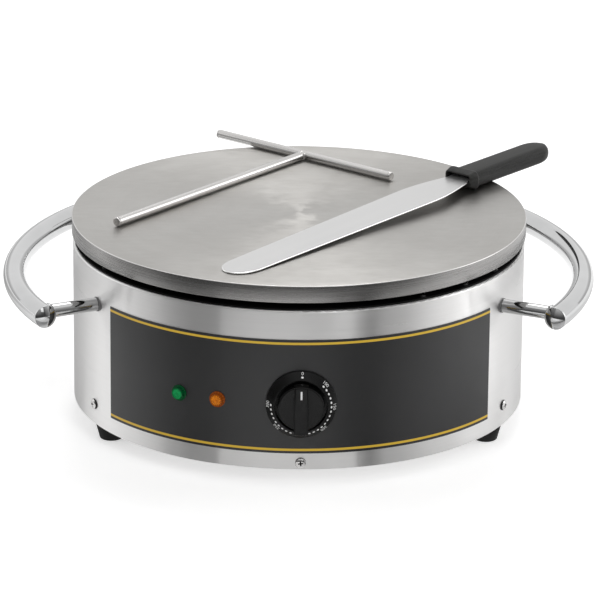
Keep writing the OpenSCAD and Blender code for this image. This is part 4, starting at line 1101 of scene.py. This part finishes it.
# Stops of a cloth: degrees round the drum from the front, near shade and far shade
FRONT_STOPS = [
    (-60, 0, 0), (-55, 0.07, 0.3), (-49, 0.15, 0.45), (-41.6, 0.19, 0.55), (-35, 0.47, 0.46),
    (-29, 0.62, 0.33), (-24.7, 0.57, 0.38), (-21.1, 0.57, 0.38), (-20.5, 0.2, 0.78),
    (-10, 0.04, 0.93), (0, 0, 0.95), (6, 0.17, 0.86), (10, 0.54, 0.6), (13.8, 0.55, 0.52),
    (14.5, 0.85, 0.28), (18, 0.78, 0.32), (21.6, 0.45, 0.42), (27.2, 0.33, 0.48),
    (33.2, 0.13, 0.38), (38, 0.04, 0.2), (46, 0, 0)]
RIGHT_STOPS = [
    (42, 0, 0), (46.6, 0.07, 0), (54.7, 0.16, 0), (62, 0.21, 0), (68, 0.27, 0), (74, 0.36, 0),
    (88, 0.38, 0)]
LEFT_STOPS = [(-88, 0.6, 0.4), (-78, 0.56, 0.4), (-69, 0.28, 0.35), (-62.6, 0.12, 0.2), (-57, 0, 0)]
# The foot cloth is painted shadow: it darkens the floor round the drum's foot where the drum's
# lower band mirrors it.
FOOT_STOPS = [
    (-36, 0, 0), (-27, 0.1, 0), (-16, 0.16, 0), (0, 0.22, 0), (10, 0.2, 0), (14, 0.08, 0),
    (19, 0.12, 0), (26, 0.2, 0), (33, 0.28, 0), (40, 0.38, 0), (46, 0.42, 0), (54, 0.32, 0),
    (66, 0, 0)]


def flag(name, stops, legs):
    """Dark cloth laid out from the drum's foot, for the bands that the metal mirrors.

    At a stop, the near shade is how dark it is where the drum mirrors it, and the far shade how
    much darker it is further out, where the plate's rim mirrors it."""
    points, shades = [], []
    for degrees, near_shade, far_shade in stops:
        a = math.radians(degrees)
        for away, height, near_share, far_share in legs:
            x = BODY_R * math.sin(a) + away * math.sin(2 * a)
            y = -BODY_R * math.cos(a) - away * math.cos(2 * a)
            points.append((x, y, height))
            shades.append(min(near_share * near_shade + far_share * far_shade, 0.95))
    row = len(legs)
    faces = [(k * row + i, k * row + row + i, k * row + row + i + 1, k * row + i + 1)
             for k in range(len(stops) - 1) for i in range(row - 1)]
    cloth(name, points, faces, shades)


def flag_back():
    """Faint grey at the horizon behind, which polished tubes and the drum's sides mirror."""
    away, half_width = 3.0, 3.5
    points, shades = [], []
    for height, shade in [(0.001, 0.4), (0.3, 0.4), (0.55, 0.3), (0.8, 0.0)]:
        for x in (-half_width, half_width):
            points.append((x, away, height))
            shades.append(shade)
    cloth("flag_back", points, [(2 * k, 2 * k + 1, 2 * k + 3, 2 * k + 2) for k in range(3)], shades)


def cloth(name, points, faces, shades):
    """Cloth that only reflections see, as dark at each point as its shade."""
    material = bpy.data.materials.new(name)
    nodes = Nodes(material)
    shade = nodes.add("ShaderNodeAttribute", attribute_name="shade").outputs["Fac"]
    clear = nodes.add("ShaderNodeBsdfTransparent").outputs[0]
    dark = nodes.add("ShaderNodeBsdfDiffuse", {"Color": grey(0.01)}).outputs[0]
    mix = nodes.add("ShaderNodeMixShader", {0: shade, 1: clear, 2: dark})
    nodes.add("ShaderNodeOutputMaterial", {"Surface": mix.outputs[0]})
    made = staged(name, points, faces, material)
    values = made.data.attributes.new("shade", "FLOAT", "POINT")
    values.data.foreach_set("value", shades)
    made.visible_camera = False
    made.visible_diffuse = False
    made.visible_shadow = False
    made.visible_transmission = False


def softbox(name, at, target, size, radiance):
    """Area light that looks as bright as its radiance, whatever its size."""
    light = bpy.data.lights.new(name, "AREA")
    light.shape = "RECTANGLE"
    light.size, light.size_y = size
    light.energy = radiance * math.pi * size[0] * size[1]
    made = new_object(name, light)
    made.location = at
    made.rotation_euler = (Vector(target) - Vector(at)).to_track_quat("-Z", "Y").to_euler()


def world():
    """Even white room: full white where it is seen or reflected, dimmer as a light."""
    made = bpy.data.worlds.new("studio")
    bpy.context.scene.world = made
    nodes = Nodes(made)
    room = nodes.add("ShaderNodeBackground", {"Color": grey(1.0), "Strength": 0.55})
    white = nodes.add("ShaderNodeBackground", {"Color": grey(1.0), "Strength": 1.0})
    inputs = {0: shown_rays(nodes), 1: room.outputs[0], 2: white.outputs[0]}
    mix = nodes.add("ShaderNodeMixShader", inputs)
    nodes.add("ShaderNodeOutputWorld", {"Surface": mix.outputs[0]})


CAMERA_AT = (-0.0594, -3.7795, 1.4088)
CAMERA_RIGHT = (0.99988, -0.01321, 0.00839)
CAMERA_FORWARD = (0.01523, 0.94481, -0.32726)
CAMERA_LENS_MM = 270.72


def camera():
    """Camera fitted to the photograph: the plate's and the drum's outlines fall on its own."""
    right = Vector(CAMERA_RIGHT)
    forward = Vector(CAMERA_FORWARD).normalized()
    up = right.cross(forward).normalized()
    right = forward.cross(up).normalized()
    made = new_object("camera", bpy.data.cameras.new("camera"))
    made.data.lens = CAMERA_LENS_MM
    made.data.sensor_width = 36.0
    made.data.clip_end = 100.0
    made.matrix_world = move(*CAMERA_AT) @ Matrix((right, up, -forward)).transposed().to_4x4()
    bpy.context.scene.camera = made


def studio():
    bpy.context.scene.view_settings.view_transform = "Standard"
    floor()
    world()
    camera()
    flag("flag_front", FRONT_STOPS, FRONT_LEGS)
    flag("flag_right", RIGHT_STOPS, SIDE_LEGS)
    flag("flag_left", LEFT_STOPS, SIDE_LEGS)
    flag("flag_foot", FOOT_STOPS, FOOT_LEGS)
    flag_back()
    softbox("softbox_left", (-1.95, 0.3, 0.8), (0, 0, 0.12), (1.0, 1.3), 0.6)
    softbox("softbox_right", (1.95, 0.3, 0.8), (0, 0, 0.12), (1.0, 1.3), 1.4)
    softbox("softbox_front", (1.06, -2.38, 1.5), (0, 0, 0.12), (0.8, 1.2), 4.5)
    softbox("softbox_back", (0.1, 1.3, 2.3), (0, 0, 0.18), (0.9, 0.9), 5.0)


# ---------- everything ----------

studio()
dress_nodes()
griddle()
handle_tube("handle_tube_right", HANDLE_SIDES[0], "handle_right")
handle_tube("handle_tube_left", HANDLE_SIDES[1], "handle_left")
handle_ends()
handle_posts()
dial_ring()
dial_marks()
knob()
knob_pointer()
pilot_lens("power_light", POWER_ANGLE, GREEN, "power_lens", "grid")
pilot_lens("heating_light", HEAT_ANGLE, ORANGE, "heating_lens", "wheel")
screw_heads("side_screw_heads", SIDE_SCREWS, "side_screws")
screw_heads("base_screw_heads", BASE_SCREWS, "base_screws")
spreader()
spatula_blade()
spatula_grip()
